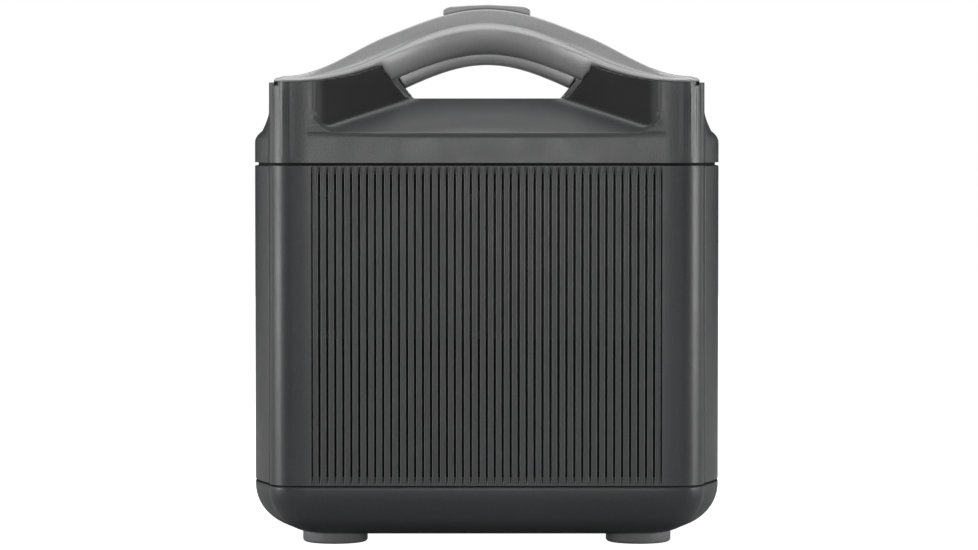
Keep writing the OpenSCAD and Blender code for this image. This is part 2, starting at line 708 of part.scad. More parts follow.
module rate_switch() {
    color("#d08a2c") mirror([1, 0, 0]) union() {
        block_x(side_x - 4, side_x + 1.2, rate_switch_at - [3, 0], [5, 4]);
        block_x(side_x - 5.5, side_x - 3.9, rate_switch_at, [18, 8]);
    }
}

module breaker_housing() {
    color("#202123") mirror([1, 0, 0]) difference() {
        union() {
            rod_x(side_x - 20, side_x + 0.2, breaker_at, 8);
            rod_x(side_x + 0.1, side_x + 1.4, breaker_at, 9.5);
        }
        rod_x(side_x - 14, side_x + 2, breaker_at, breaker_r + 0.3);
    }
}

module breaker_button() {
    color("#b23a2e") mirror([1, 0, 0]) rod_x(side_x - 10, side_x + 3.4, breaker_at, breaker_r);
}

// ---- Inside ----

module fan_frame(x) {
    hub_r = 17;
    color("#1d1e20") translate([x, fan_y, fan_z]) rotate([-90, 0, 0]) union() {
        difference() {
            translate([-fan_size / 2, -fan_size / 2, 0]) cube([fan_size, fan_size, fan_depth]);
            translate([0, 0, -1]) cylinder(r = fan_size / 2 - 2, h = fan_depth + 2);
            for (sx = [-1, 1], sy = [-1, 1]) translate([sx * 35.5, sy * 35.5, -1])
                cylinder(r = 2.2, h = fan_depth + 2);
        }
        translate([0, 0, fan_depth - 3]) cylinder(r = hub_r, h = 3);
        for (a = [45 : 90 : 315]) rotate([0, 0, a]) translate([hub_r - 1, -2, fan_depth - 3]) cube([23, 4, 3]);
        translate([0, 0, 3]) cylinder(r = 1.5, h = fan_depth - 4);
    }
}

module fan_rotor(x) {
    blades = 7;
    color("#26272a") translate([x, fan_y, fan_z]) rotate([-90, 0, 0]) difference() {
        union() {
            translate([0, 0, 1.5]) cylinder(r = 16, h = 14.5);
            for (i = [0 : blades - 1]) rotate([0, 0, 360 / blades * i]) translate([26, 0, 8.5])
                rotate([38, 0, 0]) cube([21, 1.8, 17], center = true);
        }
        translate([0, 0, 2.5]) cylinder(r = 1.55, h = 20);
    }
}

module fan_screws() {
    color("#9a9da0") for (x = [-fan_x, fan_x], sx = [-1, 1], sz = [-1, 1])
        translate([x + sx * 35.5, fan_y - 7, fan_z + sz * 35.5]) rotate([-90, 0, 0]) union() {
            cylinder(r = 1.85, h = fan_depth + 7.1);
            translate([0, 0, fan_depth + 7]) cylinder(r = 3.6, h = 1.8);
        }
}

function pack_size() = [cell_rows[0] * cell_pitch, cell_rows[1] * cell_pitch];

// A shallow tray that locates one end of the cells
module cell_holder() {
    size = pack_size();
    color("#3c6e9c") difference() {
        translate([-size[0] / 2 - 1.5, -size[1] / 2 - 1.5, cell_z - 3]) cube([size[0] + 3, size[1] + 3, 12]);
        translate([-size[0] / 2, -size[1] / 2, cell_z - strip_t]) cube([size[0], size[1], 12]);
    }
}

module cell_tray() {
    cell_holder();
}

module cell_cover() {
    translate([0, 0, 2 * cell_z + cell_h]) mirror([0, 0, 1]) cell_holder();
    color("#3c6e9c") for (x = [-55, 55], y = [15, 85]) translate([x, y, pack_top_z - 0.1])
        cylinder(r = 2.5, h = 1.7);
}

module battery_cells() {
    color("#4a9c6b") for (i = [0 : cell_rows[0] - 1], j = [0 : cell_rows[1] - 1])
        translate([(i - (cell_rows[0] - 1) / 2) * cell_pitch, (j - (cell_rows[1] - 1) / 2) * cell_pitch, cell_z])
            cylinder(r = cell_r, h = cell_h);
}

// Nickel strips that join the cells at the top and the bottom
module bus_bars() {
    size = pack_size();
    color("#c9c6bd") for (z = [cell_z - strip_t, cell_z + cell_h], i = [0 : cell_rows[0] - 1])
        translate([(i - (cell_rows[0] - 1) / 2) * cell_pitch - 4, -size[1] / 2 + 3, z])
            cube([8, size[1] - 6, strip_t]);
}

module battery_board() {
    z = pack_top_z + 1.6;
    color("#2f6a44") union() {
        translate([-60, 10, z]) cube([120, 80, 1.6]);
        for (x = [-40, 0, 40]) translate([x - 7, 30, z + 1.5]) cube([14, 40, 3.2]);
    }
}

// A folded sheet shelf over the battery, on four legs that stand on the tray's floor, with studs for the boards
module chassis() {
    leg_x = 81;
    leg_y = 126;
    studs = [[-74, -143], [74, -143], [-74, 58], [74, 58], [-76, 78], [-76, 142], [48, 78], [48, 142]];
    color("#a9adb2") union() {
        difference() {
            translate([-leg_x - 3, -152, shelf_z]) cube([2 * leg_x + 6, 304, shelf_t]);
            translate([66, 74, shelf_z - 1]) cube([30, 38, shelf_t + 2]);
        }
        for (sx = [-1, 1], sy = [-1, 1]) {
            translate([sx * (leg_x + 1) - 1, sy * (leg_y + 10) - 10, floor_z])
                cube([2, 20, shelf_z - floor_z + 0.1]);
            translate([sx * (leg_x + 4) - 4, sy * (leg_y + 10) - 10, floor_z]) cube([8, 20, 2]);
        }
        for (p = studs) translate([p[0], p[1], shelf_z + shelf_t - 0.1])
            cylinder(r = 3, h = board_z - shelf_z - shelf_t + 0.1);
    }
}

module inverter_board() {
    color("#2f6a44") translate([-82, -148, board_z]) cube([164, 212, 2]);
}

module heat_sinks() {
    color("#a9adb2") for (sx = [-1, 1]) translate([sx * 40 - 34, -142, board_z + 2]) union() {
        cube([68, 100, 5]);
        for (i = [0 : 8]) translate([i * 8.2, 0, 4.9]) cube([2, 100, 32]);
    }
}

module transformers() {
    color("#b5773a") for (sx = [-1, 1]) translate([sx * 38, -14, board_z + 2]) union() {
        translate([-22, -18, 0]) cube([44, 36, 6]);
        translate([0, 0, 5.9]) cylinder(r = 17, h = 26);
        translate([-22, -18, 31]) cube([44, 36, 6]);
    }
}

module capacitors() {
    color("#31353b") for (i = [0 : 4]) translate([-62 + 31 * i, 36, board_z + 2]) cylinder(r = 11, h = 42);
}

module charger_board() {
    color("#2f6a44") union() {
        translate([-82, 72, board_z]) cube([136, 76, 2]);
        for (x = [-56, -14, 28]) translate([x, 112, board_z + 1.9]) cylinder(r = 15, h = 18);
        for (x = [-70, -40, -10, 20]) translate([x, 76, board_z + 1.9]) cube([16, 10, 8]);
    }
}

// A thin foam screen behind the ribs of each end, round the fans' bosses at the near end
module vent_screens() {
    color("#17181a") for (turn = [0, 180]) rotate([0, 0, turn]) difference() {
        translate([-88, -half_l + wall + 0.1, 40]) cube([176, 1.2, 142]);
        for (x = [-fan_x, fan_x], sx = [-1, 1], sz = [-1, 1])
            translate([x + sx * 35.5, -half_l + wall - 1, fan_z + sz * 35.5]) rotate([-90, 0, 0])
                cylinder(r = 4.2, h = 4);
    }
}

bottom_tray();
end_shell();  // end_shell_near
far_end() end_shell();  // end_shell_far
front_fascia();
rear_fascia();
top_cap();
seam_seals();
handle();  // handle_near
far_end() handle();  // handle_far
handle_pad();  // handle_pad_near
far_end() handle_pad();  // handle_pad_far
handle_screws();
foot(-1, -1);  // foot_1
foot(1, -1);  // foot_2
foot(-1, 1);  // foot_3
foot(1, 1);  // foot_4
foot_screws();
port_panel();
display_window();
display_module();
main_button();
usb_button();
dc_button();
usb_a_ports();
usb_c_ports();
dc_jacks();
car_socket();
car_socket_cap();
port_board();
outlet_panel();
ac_outlet(outlet_at[0]);  // ac_outlet_1
ac_outlet(outlet_at[1]);  // ac_outlet_2
ac_outlet(outlet_at[2]);  // ac_outlet_3
ac_outlet(outlet_at[3]);  // ac_outlet_4
ac_button();
ac_inlet();
inlet_cover(inlet_at, inlet_size);  // ac_inlet_cover
solar_inlet();
inlet_cover(solar_at, solar_size);  // solar_inlet_cover
rate_switch();
breaker_housing();
breaker_button();
hinge_pins();
fan_frame(-fan_x);  // fan_frame_1
fan_frame(fan_x);  // fan_frame_2
fan_rotor(-fan_x);  // fan_rotor_1
fan_rotor(fan_x);  // fan_rotor_2
fan_screws();
cell_tray();
cell_cover();
battery_cells();
bus_bars();
battery_board();
chassis();
inverter_board();
heat_sinks();
transformers();
capacitors();
charger_board();
vent_screens();
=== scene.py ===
import math

import bmesh
import bpy
from mathutils import Matrix, Vector


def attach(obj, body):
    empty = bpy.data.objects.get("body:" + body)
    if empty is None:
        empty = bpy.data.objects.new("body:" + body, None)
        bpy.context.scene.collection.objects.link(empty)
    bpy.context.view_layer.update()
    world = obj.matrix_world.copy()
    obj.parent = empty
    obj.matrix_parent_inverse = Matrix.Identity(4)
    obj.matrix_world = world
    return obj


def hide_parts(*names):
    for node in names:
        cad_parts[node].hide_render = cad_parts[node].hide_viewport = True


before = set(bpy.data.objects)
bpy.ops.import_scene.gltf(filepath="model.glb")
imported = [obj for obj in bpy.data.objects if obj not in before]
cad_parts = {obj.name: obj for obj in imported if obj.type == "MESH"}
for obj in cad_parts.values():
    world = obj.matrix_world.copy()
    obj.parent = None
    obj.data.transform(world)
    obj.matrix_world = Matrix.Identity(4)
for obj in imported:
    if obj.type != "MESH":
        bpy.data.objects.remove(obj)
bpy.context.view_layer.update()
mm = 0.001

# ---- The studio ----
# A pale floor that runs out of sight, a white room, a wide lamp overhead and tall
# strip lamps at the sides, which draw the long highlights down the corner posts.

bpy.ops.object.select_all(action="DESELECT")
bpy.ops.object.camera_add(location=(0.0011, -1.95, 0.2005), rotation=(math.radians(90 - 2.204), 0, 0))
camera = bpy.context.object
camera.name = "camera"
camera.data.lens = 133
camera.data.sensor_width = 36
camera.data.clip_end = 50
bpy.context.scene.camera = camera
bpy.context.scene.view_settings.view_transform = "Standard"

room = bpy.data.worlds.new("room")
bpy.context.scene.world = room
room.use_nodes = True
room_nodes = room.node_tree.nodes
seen = room_nodes["Background"]
seen.inputs["Color"].default_value = (1, 1, 1, 1)
lit = room_nodes.new("ShaderNodeBackground")
lit.inputs["Color"].default_value = (0.97, 0.985, 1, 1)
lit.inputs["Strength"].default_value = 0.015
path = room_nodes.new("ShaderNodeLightPath")
either = room_nodes.new("ShaderNodeMixShader")
room.node_tree.links.new(path.outputs["Is Camera Ray"], either.inputs["Fac"])
room.node_tree.links.new(lit.outputs[0], either.inputs[1])
room.node_tree.links.new(seen.outputs[0], either.inputs[2])
room.node_tree.links.new(either.outputs[0], room_nodes["World Output"].inputs["Surface"])


def lamp(name, place, aim, width, height, power):
    """A softbox at a place, turned to face a point."""
    turn = (Vector(aim) - Vector(place)).to_track_quat("-Z", "Y")
    bpy.ops.object.light_add(type="AREA", location=place, rotation=turn.to_euler())
    light = bpy.context.object
    light.name = name
    light.data.shape = "RECTANGLE"
    light.data.size = width
    light.data.size_y = height
    light.data.energy = power


lamp("lamp_over", (0, 0, 1.5), (0, 0, 0.2), 1.7, 1.3, 14.5)
lamp("lamp_over_front", (0, -0.6, 1.5), (0, -0.15, 0.2), 1.4, 0.4, 7)
lamp("lamp_over_back", (0, 1.1, 1.5), (0, 0, 0.2), 1.4, 0.5, 9)
lamp("lamp_front_low", (0, -2.6, 0.25), (0, -0.2, 0.16), 0.5, 0.14, 2.8)
lamp("lamp_front_high", (0, -2.6, 0.5), (0, -0.2, 0.16), 0.5, 0.16, 7)
lamp("lamp_rear", (0, 2.6, 0.3), (0, 0.2, 0.16), 0.5, 0.2, 5)
for side in (-1, 1):
    lamp("lamp_side_%d" % side, (side * 1.33, -0.62, 0.15), (side * 0.08, -0.2, 0.12), 0.36, 0.6, 9.5)
    lamp("lamp_edge_%d" % side, (side * 1.4, -0.2, 0.15), (side * 0.08, -0.2, 0.12), 0.25, 0.6, 3.5)
    lamp("lamp_back_%d" % side, (side * 1.3, 0.75, 0.3), (side * 0.08, 0.2, 0.12), 0.25, 0.6, 1.2)

bpy.ops.mesh.primitive_plane_add(size=24, location=(0, 0, 0))
floor = bpy.context.object
floor.name = "floor"
floor_paint = bpy.data.materials.new("floor_paint")
floor_paint.use_nodes = True
floor_nodes = floor_paint.node_tree.nodes
floor_shader = floor_nodes["Principled BSDF"]
floor_shader.inputs["Base Color"].default_value = (0.5, 0.5, 0.5, 1)
floor_shader.inputs["Roughness"].default_value = 0.9
glow = floor_nodes.new("ShaderNodeEmission")
glow.inputs["Color"].default_value = (1, 1, 1, 1)
to_camera = floor_nodes.new("ShaderNodeMixShader")
glow_and_paint = floor_nodes.new("ShaderNodeAddShader")
floor_links = floor_paint.node_tree.links
floor_links.new(glow.outputs[0], glow_and_paint.inputs[0])
floor_links.new(floor_shader.outputs[0], glow_and_paint.inputs[1])
floor_links.new(floor_nodes.new("ShaderNodeLightPath").outputs["Is Camera Ray"], to_camera.inputs["Fac"])
floor_links.new(floor_shader.outputs[0], to_camera.inputs[1])
floor_links.new(glow_and_paint.outputs[0], to_camera.inputs[2])
floor_links.new(to_camera.outputs[0], floor_nodes["Material Output"].inputs["Surface"])
floor.data.materials.append(floor_paint)

# ---- Bottom tray ----
# A moulded basin with one long roll from its walls to its floor and the plan of the whole
# body: rounded corners, and long sides that bulge past the posts. The feet sit in its recesses.

half_w = 106.2 * mm
half_l = 200 * mm
corner_r = 12 * mm
bulge = 8.8 * mm
flank_run = 33 * mm
tray_z = 30 * mm
tray_roll = 23 * mm
foot_h = 5 * mm
foot_r = 16 * mm
foot_places = [(x * 75 * mm, y * 165 * mm) for x in (-1, 1) for y in (-1, 1)]


def flank(y):
    """The share of the bulge at a place along the body: 0 at the posts, 1 on the long sides."""
    t = min(1, max(0, (half_l - corner_r - abs(y)) / flank_run))
    return t * (3 - t * t) / 2


def new_piece(name):
    """Names the primitive just added and puts its place and size into its mesh."""
    piece = bpy.context.object
    piece.name = piece.data.name = name
    bpy.ops.object.transform_apply(location=True, rotation=True, scale=True)
    return piece


def block(name, low, high):
    """A cube primitive from one corner to the other."""
    bpy.ops.object.select_all(action="DESELECT")
    bpy.ops.mesh.primitive_cube_add(size=1, location=[(a + b) / 2 for a, b in zip(low, high)])
    bpy.context.object.scale = [b - a for a, b in zip(low, high)]
    return new_piece(name)


def rod(name, start, end, radius, sides=64):
    """A cylinder primitive from one point to another."""
    bpy.ops.object.select_all(action="DESELECT")
    along = Vector(end) - Vector(start)
    turn = along.to_track_quat("Z", "Y").to_euler()
    bpy.ops.mesh.primitive_cylinder_add(vertices=sides, radius=radius, depth=along.length,
                                        location=Vector(start) + along / 2, rotation=turn)
    return new_piece(name)


def select(piece, kind, wanted):
    """Edit mode with only those faces, edges or points selected whose middle passes the test."""
    if bpy.context.mode != "EDIT_MESH":
        bpy.ops.object.select_all(action="DESELECT")
        piece.select_set(True)
        bpy.context.view_layer.objects.active = piece
        bpy.ops.object.mode_set(mode="EDIT")
    bpy.ops.mesh.select_mode(type=kind)
    bpy.ops.mesh.select_all(action="DESELECT")
    mesh = bmesh.from_edit_mesh(piece.data)
    for item in {"VERT": mesh.verts, "EDGE": mesh.edges, "FACE": mesh.faces}[kind]:
        points = [item.co] if kind == "VERT" else [v.co for v in item.verts]
        item.select_set(bool(wanted(sum(points, Vector()) / len(points), item)))
    mesh.select_flush_mode()
    bmesh.update_edit_mesh(piece.data)


def done():
    """Back to object mode."""
    bpy.ops.object.mode_set(mode="OBJECT")


def cut_planes(piece, axis, places):
    """Slices a piece into strips with planes across one axis."""
    for place in places:
        select(piece, "FACE", lambda c, f: True)
        bpy.ops.mesh.bisect(plane_co=[place if i == axis else 0 for i in range(3)],
                            plane_no=[1 if i == axis else 0 for i in range(3)])
    done()


def runs(edge, axis):
    """Whether an edge runs along one axis."""
    step = edge.verts[1].co - edge.verts[0].co
    return abs(step[axis]) > 0.999 * step.length


def modify(piece, kind, **settings):
    """Adds a modifier, sets it and applies it."""
    bpy.ops.object.select_all(action="DESELECT")
    piece.select_set(True)
    bpy.context.view_layer.objects.active = piece
    step = piece.modifiers.new(kind.lower(), kind)
    for key, value in settings.items():
        setattr(step, key, value)
    bpy.ops.object.modifier_apply(modifier=step.name)


def join(pieces):
    """Joins pieces into the first one."""
    bpy.ops.object.select_all(action="DESELECT")
    for piece in pieces:
        piece.select_set(True)
    bpy.context.view_layer.objects.active = pieces[0]
    bpy.ops.object.join()
    return pieces[0]


def carve(piece, cutter, how="DIFFERENCE"):
    """Cuts one piece with another, or adds it, and throws the cutter away."""
    modify(piece, "BOOLEAN", object=cutter, operation=how, solver="EXACT")
    bpy.data.objects.remove(cutter)


def smooth(piece, angle=32):
    """Smooth shading that keeps edges sharper than the angle."""
    bpy.ops.object.select_all(action="DESELECT")
    piece.select_set(True)
    bpy.context.view_layer.objects.active = piece
    bpy.ops.object.shade_smooth_by_angle(angle=math.radians(angle))


def ease_edges(piece, width, segments=2, angle=40):
    """Rounds every sharp edge a little, as a moulding tool leaves it."""
    modify(piece, "BEVEL", width=width, segments=segments, limit_method="ANGLE",
           angle_limit=math.radians(angle), harden_normals=False)
    smooth(piece)
    modify(piece, "WEIGHTED_NORMAL", keep_sharp=True, weight=90)


def body_block(name, low_z, high_z, levels, share, inset):
    """A slice of the body: a block with rounded corners whose long sides bulge."""
    piece = block(name, (-half_w, -half_l, low_z), (half_w, half_l, high_z))
    select(piece, "EDGE", lambda c, e: runs(e, 2))
    bpy.ops.mesh.bevel(offset=corner_r, segments=12)
    done()
    steps = [(half_l - corner_r) - flank_run * i / 12 for i in range(13)]
    cut_planes(piece, 1, [s * y for y in steps for s in (-1, 1)])
    cut_planes(piece, 2, levels)
    for v in piece.data.vertices:
        if abs(v.co.x) > half_w - 1e-6:
            v.co.x += math.copysign(bulge * share(v.co.z) * flank(v.co.y), v.co.x)
        v.co.x *= 1 - inset(v.co.z) / half_w
        v.co.y *= 1 - inset(v.co.z) / half_l
    return piece


lead_start, lead_end, lead_drop = 86.5 * mm, 99 * mm, 0.85 * mm


def ease_corners(piece):
    """Lets the flat ends fall back a little before the upright corners begin."""
    cut_planes(piece, 0, [s * (lead_start + 1.5 * mm * i) for i in range(5) for s in (-1, 1)])
    for v in piece.data.vertices:
        t = min(1, max(0, (abs(v.co.x) - lead_start) / (lead_end - lead_start)))
        near = min(1, max(0, (abs(v.co.y) - 150 * mm) / (30 * mm)))
        v.co.y -= math.copysign(lead_drop * t * t * (3 - 2 * t) * near, v.co.y)


def tray_inset(z):
    """How far the tray's wall has rolled in at a height."""
    drop = max(0, foot_h + tray_roll - z)
    return tray_roll - math.sqrt(max(0, tray_roll ** 2 - drop ** 2))


roll_levels = [foot_h + tray_roll * (1 - math.cos(math.radians(a))) for a in range(8, 90, 6)]
tray = body_block("tray", foot_h, tray_z, roll_levels + [foot_h + tray_roll], lambda z: 1, tray_inset)
select(tray, "FACE", lambda c, f: f.normal.z > 0.9 and c.z > tray_z - 1e-6)
bpy.ops.mesh.inset(thickness=5.5 * mm, depth=0)
for depth, narrow in ((12, 0), (6, 5), (3.2, 5)):
    bpy.ops.mesh.extrude_region_move(TRANSFORM_OT_translate={"value": (0, 0, -depth * mm)})
    bpy.ops.transform.resize(value=(1 - narrow * mm / half_w, 1 - narrow * mm / half_l, 1),
                             center_override=(0, 0, 0))
select(tray, "EDGE", lambda c, e: abs(c.z - tray_z) < 1e-6 and len(e.link_faces) == 2
       and min(f.normal.z for f in e.link_faces) < 0.5)
bpy.ops.mesh.bevel(offset=0.8 * mm, segments=3)
done()
carve(tray, join([rod("recess_%d" % i, (x, y, 0), (x, y, foot_h + 1 * mm), foot_r + 0.3 * mm)
                  for i, (x, y) in enumerate(foot_places)]))
ease_corners(tray)
smooth(tray, 34)


def node_group(name, inputs, outputs):
    """An empty shader node group with its sockets."""
    tree = bpy.data.node_groups.new(name, "ShaderNodeTree")
    for socket, kind, value in inputs:
        tree.interface.new_socket(socket, in_out="INPUT", socket_type="NodeSocket" + kind).default_value = value
    for socket, kind in outputs:
        tree.interface.new_socket(socket, in_out="OUTPUT", socket_type="NodeSocket" + kind)
    return tree, tree.nodes.new("NodeGroupInput"), tree.nodes.new("NodeGroupOutput")


def math_node(tree, operation, a, b=None, clamp=False):
    """A Math node fed by sockets or numbers."""
    node = tree.nodes.new("ShaderNodeMath")
    node.operation = operation
    node.use_clamp = clamp
    for socket, value in zip(node.inputs, (a, b)):
        if isinstance(value, bpy.types.NodeSocket):
            tree.links.new(value, socket)
        elif value is not None:
            socket.default_value = value
    return node.outputs[0]


def noise_node(tree, scale, detail, stretch=None):
    """Noise over the piece, with its scale a number or a socket."""
    noise = tree.nodes.new("ShaderNodeTexNoise")
    noise.inputs["Detail"].default_value = detail
    place = tree.nodes.new("ShaderNodeTexCoord").outputs["Object"]
    if stretch:
        mapping = tree.nodes.new("ShaderNodeMapping")
        mapping.inputs["Scale"].default_value = stretch
        tree.links.new(place, mapping.inputs["Vector"])
        place = mapping.outputs["Vector"]
    tree.links.new(place, noise.inputs["Vector"])
    if isinstance(scale, bpy.types.NodeSocket):
        tree.links.new(scale, noise.inputs["Scale"])
    else:
        noise.inputs["Scale"].default_value = scale
    return noise.outputs["Fac"]


def mix_colour(tree, share, a, b):
    """One colour blended into another by a share."""
    mix = tree.nodes.new("ShaderNodeMix")
    mix.data_type = "RGBA"
    for socket, value in ((mix.inputs[0], share), (mix.inputs[6], a), (mix.inputs[7], b)):
        if isinstance(value, bpy.types.NodeSocket):
            tree.links.new(value, socket)
        else:
            socket.default_value = value
    return mix.outputs[2]


# Spark-eroded grain of a moulding tool: a fine even pebble, faint flow marks in the colour,
# and edges rubbed a little paler.
grain_group, grain_in, grain_out = node_group(
    "moulded_grain",
    [("Colour", "Color", (0.05, 0.05, 0.05, 1)), ("Pale", "Color", (0.1, 0.1, 0.1, 1)),
     ("Grain Scale", "Float", 900), ("Roughness", "Float", 0.5), ("Wear", "Float", 0.3)],
    [("Colour", "Color"), ("Roughness", "Float"), ("Height", "Float")])
pebble = noise_node(grain_group, grain_in.outputs["Grain Scale"], 2)
flow = noise_node(grain_group, 9, 3)
smudge = noise_node(grain_group, 55, 4)
edge = grain_group.nodes.new("ShaderNodeNewGeometry").outputs["Pointiness"]
rubbed = math_node(grain_group, "MULTIPLY", math_node(grain_group, "SUBTRACT", edge, 0.52, clamp=True), 14, clamp=True)
rubbed = math_node(grain_group, "MULTIPLY", rubbed, grain_in.outputs["Wear"])
speck = math_node(grain_group, "MULTIPLY", math_node(grain_group, "SUBTRACT", pebble, 0.5, clamp=True), 0.9)
streak = math_node(grain_group, "MULTIPLY", math_node(grain_group, "SUBTRACT", flow, 0.42, clamp=True), 0.5)
paler = math_node(grain_group, "ADD", math_node(grain_group, "ADD", speck, streak), rubbed, clamp=True)
grain_group.links.new(mix_colour(grain_group, paler, grain_in.outputs["Colour"], grain_in.outputs["Pale"]),
                      grain_out.inputs["Colour"])
uneven = math_node(grain_group, "MULTIPLY", math_node(grain_group, "SUBTRACT", smudge, 0.5), 0.16)
grain_group.links.new(math_node(grain_group, "ADD", grain_in.outputs["Roughness"], uneven),
                      grain_out.inputs["Roughness"])
grain_group.links.new(pebble, grain_out.inputs["Height"])


def plastic(name, colour, roughness, grain_scale=900, grain_depth=0.05, wear=0.3, coat=0, specular=0.5):
    """A moulded plastic or rubber with the tool's grain in it."""
    material = bpy.data.materials.new(name)
    material.use_nodes = True
    tree = material.node_tree
    shader = tree.nodes["Principled BSDF"]
    shader.inputs["Specular IOR Level"].default_value = specular
    shader.inputs["Coat Weight"].default_value = coat
    shader.inputs["Coat Roughness"].default_value = 0.08
    grain = tree.nodes.new("ShaderNodeGroup")
    grain.node_tree = grain_group
    grain.inputs["Colour"].default_value = (*colour, 1)
    grain.inputs["Pale"].default_value = (*[min(1, c * 1.5 + 0.02) for c in colour], 1)
    grain.inputs["Grain Scale"].default_value = grain_scale
    grain.inputs["Roughness"].default_value = roughness
    grain.inputs["Wear"].default_value = wear
    bump = tree.nodes.new("ShaderNodeBump")
    bump.inputs["Strength"].default_value = 1
    bump.inputs["Distance"].default_value = grain_depth * mm
    tree.links.new(grain.outputs["Colour"], shader.inputs["Base Color"])
    tree.links.new(grain.outputs["Roughness"], shader.inputs["Roughness"])
    tree.links.new(grain.outputs["Height"], bump.inputs["Height"])
    tree.links.new(bump.outputs["Normal"], shader.inputs["Normal"])
    return material


def fit(piece, material, slot, body, *nodes):
    """Gives a piece its material and its place in the assembly."""
    piece.data.materials.clear()
    piece.data.materials.append(material)
    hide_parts(*nodes)
    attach(piece, body)


tray_plastic = plastic("tray_plastic", (0.026, 0.027, 0.029), 0.42)
fit(tray, tray_plastic, "tray_plastic", "housing", "bottom_tray")

# ---- Feet ----
# Four round feet of grey rubber, turned with a soft lower rim and a counterbore,
# each held by one hexagon socket screw.

foot_rubber = plastic("foot_rubber", (0.155, 0.156, 0.16), 0.6, 500, 0.06, 0.5, specular=0.35)


def foot_blank(x, y):
    foot = rod("foot_1", (x, y, 0), (x, y, foot_h + 1 * mm), foot_r, 96)
    select(foot, "FACE", lambda c, f: f.normal.z < -0.9)
    bpy.ops.mesh.inset(thickness=foot_r - 5 * mm, depth=0)
    bpy.ops.mesh.extrude_region_move(TRANSFORM_OT_translate={"value": (0, 0, 3 * mm)})
    select(foot, "EDGE", lambda c, e: abs(c.z) < 1e-6 and (c - Vector((x, y, 0))).length > 12 * mm
           and all((v.co - Vector((x, y, 0))).length > foot_r - 1e-5 for v in e.verts))
    bpy.ops.mesh.bevel(offset=1.5 * mm, segments=6)
    done()
    return foot


first_x, first_y = foot_places[0]
first_foot = foot_blank(first_x, first_y)
carve(first_foot, rod("bore", (first_x, first_y, 2 * mm), (first_x, first_y, 8 * mm), 2.1 * mm, 32))
smooth(first_foot)
for number, (x, y) in enumerate(((-1, -1), (1, -1), (-1, 1), (1, 1)), 1):
    foot = first_foot
    if number > 1:
        foot = first_foot.copy()
        foot.data = first_foot.data.copy()
        bpy.context.scene.collection.objects.link(foot)
        foot.data.transform(Matrix.Translation((x * 75 * mm - first_x, y * 165 * mm - first_y, 0)))
    foot.name = foot.data.name = "rubber_foot_%d" % number
    fit(foot, foot_rubber, "foot_rubber", "housing", "foot_%d" % number)

# ---- Ribbed end walls ----
# Each end wall is one moulding with rounded corners that reach back to the long sides. Forty-four
# upright ribs stand between plain strips. Each groove between them runs out at its ends in a short
# slope, and is open through the wall over the middle stretch, where the fans blow.

shell_low = 30.6 * mm
shell_top = 186 * mm
rib_count = 44
rib_pitch = 3.868 * mm
rib_field = rib_count * rib_pitch / 2
groove_depth = 1.5 * mm
wall = 3 * mm
groove_foot, groove_head = 31.2 * mm, 185.5 * mm
slope = 3.6 * mm
vent_low, vent_high = 102 * mm, 174 * mm
# the rib's section, from the middle of its face out to the middle of the groove
rib_section = [(0, 0), (0.45, 0.01), (0.7, 0.06), (0.95, 0.18), (1.2, 0.38), (1.4, 0.65), (1.52, 1.1), (1.62, 1.9),
               (1.934, 1.9)]
heights = [shell_low, groove_foot, groove_foot + slope, vent_low, vent_high, groove_head - slope, groove_head,
           shell_top]

bpy.ops.object.select_all(action="DESELECT")
bpy.ops.mesh.primitive_plane_add(size=1, rotation=(math.radians(90), 0, 0),
                                 location=(-rib_field + rib_pitch / 2, -half_l, (shell_low + shell_top) / 2))
bpy.context.object.scale = (rib_pitch, shell_top - shell_low, 1)
rib = new_piece("end_wall_near")
rib_middle = -rib_field + rib_pitch / 2
cut_planes(rib, 2, heights[1:-1])
cut_planes(rib, 0, [rib_middle + s * x * mm for x, _ in rib_section[:-1] for s in ((-1, 1) if x else (1,))])
for v in rib.data.vertices:
    off = abs(v.co.x - rib_middle) / mm
    sunk = min(rib_section, key=lambda p: abs(p[0] - off))[1] * mm
    ends = min(v.co.z - groove_foot, groove_head - v.co.z)
    v.co.y += sunk * min(1, max(0, ends / slope))
select(rib, "FACE", lambda c, f: abs(c.x - rib_middle) > 1.63 * mm and vent_low < c.z < vent_high)
bpy.ops.mesh.delete(type="FACE")
done()
modify(rib, "ARRAY", count=rib_count, use_relative_offset=False, use_constant_offset=True,
       constant_offset_displace=(rib_pitch, 0, 0), use_merge_vertices=True, merge_threshold=0.01 * mm)

frame_wall = block("end_frame", (-half_w, -half_l, shell_low), (half_w, -half_l + corner_r + 0.5 * mm, shell_top))
select(frame_wall, "EDGE", lambda c, e: runs(e, 2) and c.y < -half_l + 1e-6)
bpy.ops.mesh.bevel(offset=corner_r, segments=14)
select(frame_wall, "FACE", lambda c, f: abs(f.normal.z) > 0.9 or f.normal.y > 0.9)
bpy.ops.mesh.delete(type="FACE")
done()
cut_planes(frame_wall, 2, heights[1:-1])
cut_planes(frame_wall, 0, [-rib_field, rib_field])
select(frame_wall, "FACE", lambda c, f: abs(c.x) < rib_field)
bpy.ops.mesh.delete(type="FACE")
select(frame_wall, "EDGE", lambda c, e: runs(e, 2) and c.y > -half_l + corner_r)
bpy.ops.mesh.extrude_edges_move(TRANSFORM_OT_translate={"value": (0, 0.5 * mm, 0)})
for v in bmesh.from_edit_mesh(frame_wall.data).verts:
    if v.select:
        v.co.x -= math.copysign(3.3 * mm, v.co.x)
bpy.ops.mesh.extrude_edges_move(TRANSFORM_OT_translate={"value": (0, 15 * mm, 0)})
done()
end_wall = join([rib, frame_wall])
select(end_wall, "VERT", lambda c, v: True)
bpy.ops.mesh.remove_doubles(threshold=0.02 * mm)
bpy.ops.mesh.normals_make_consistent(inside=False)
done()
if sum(f.normal.y * f.area for f in end_wall.data.polygons) > 0:
    end_wall.data.flip_normals()
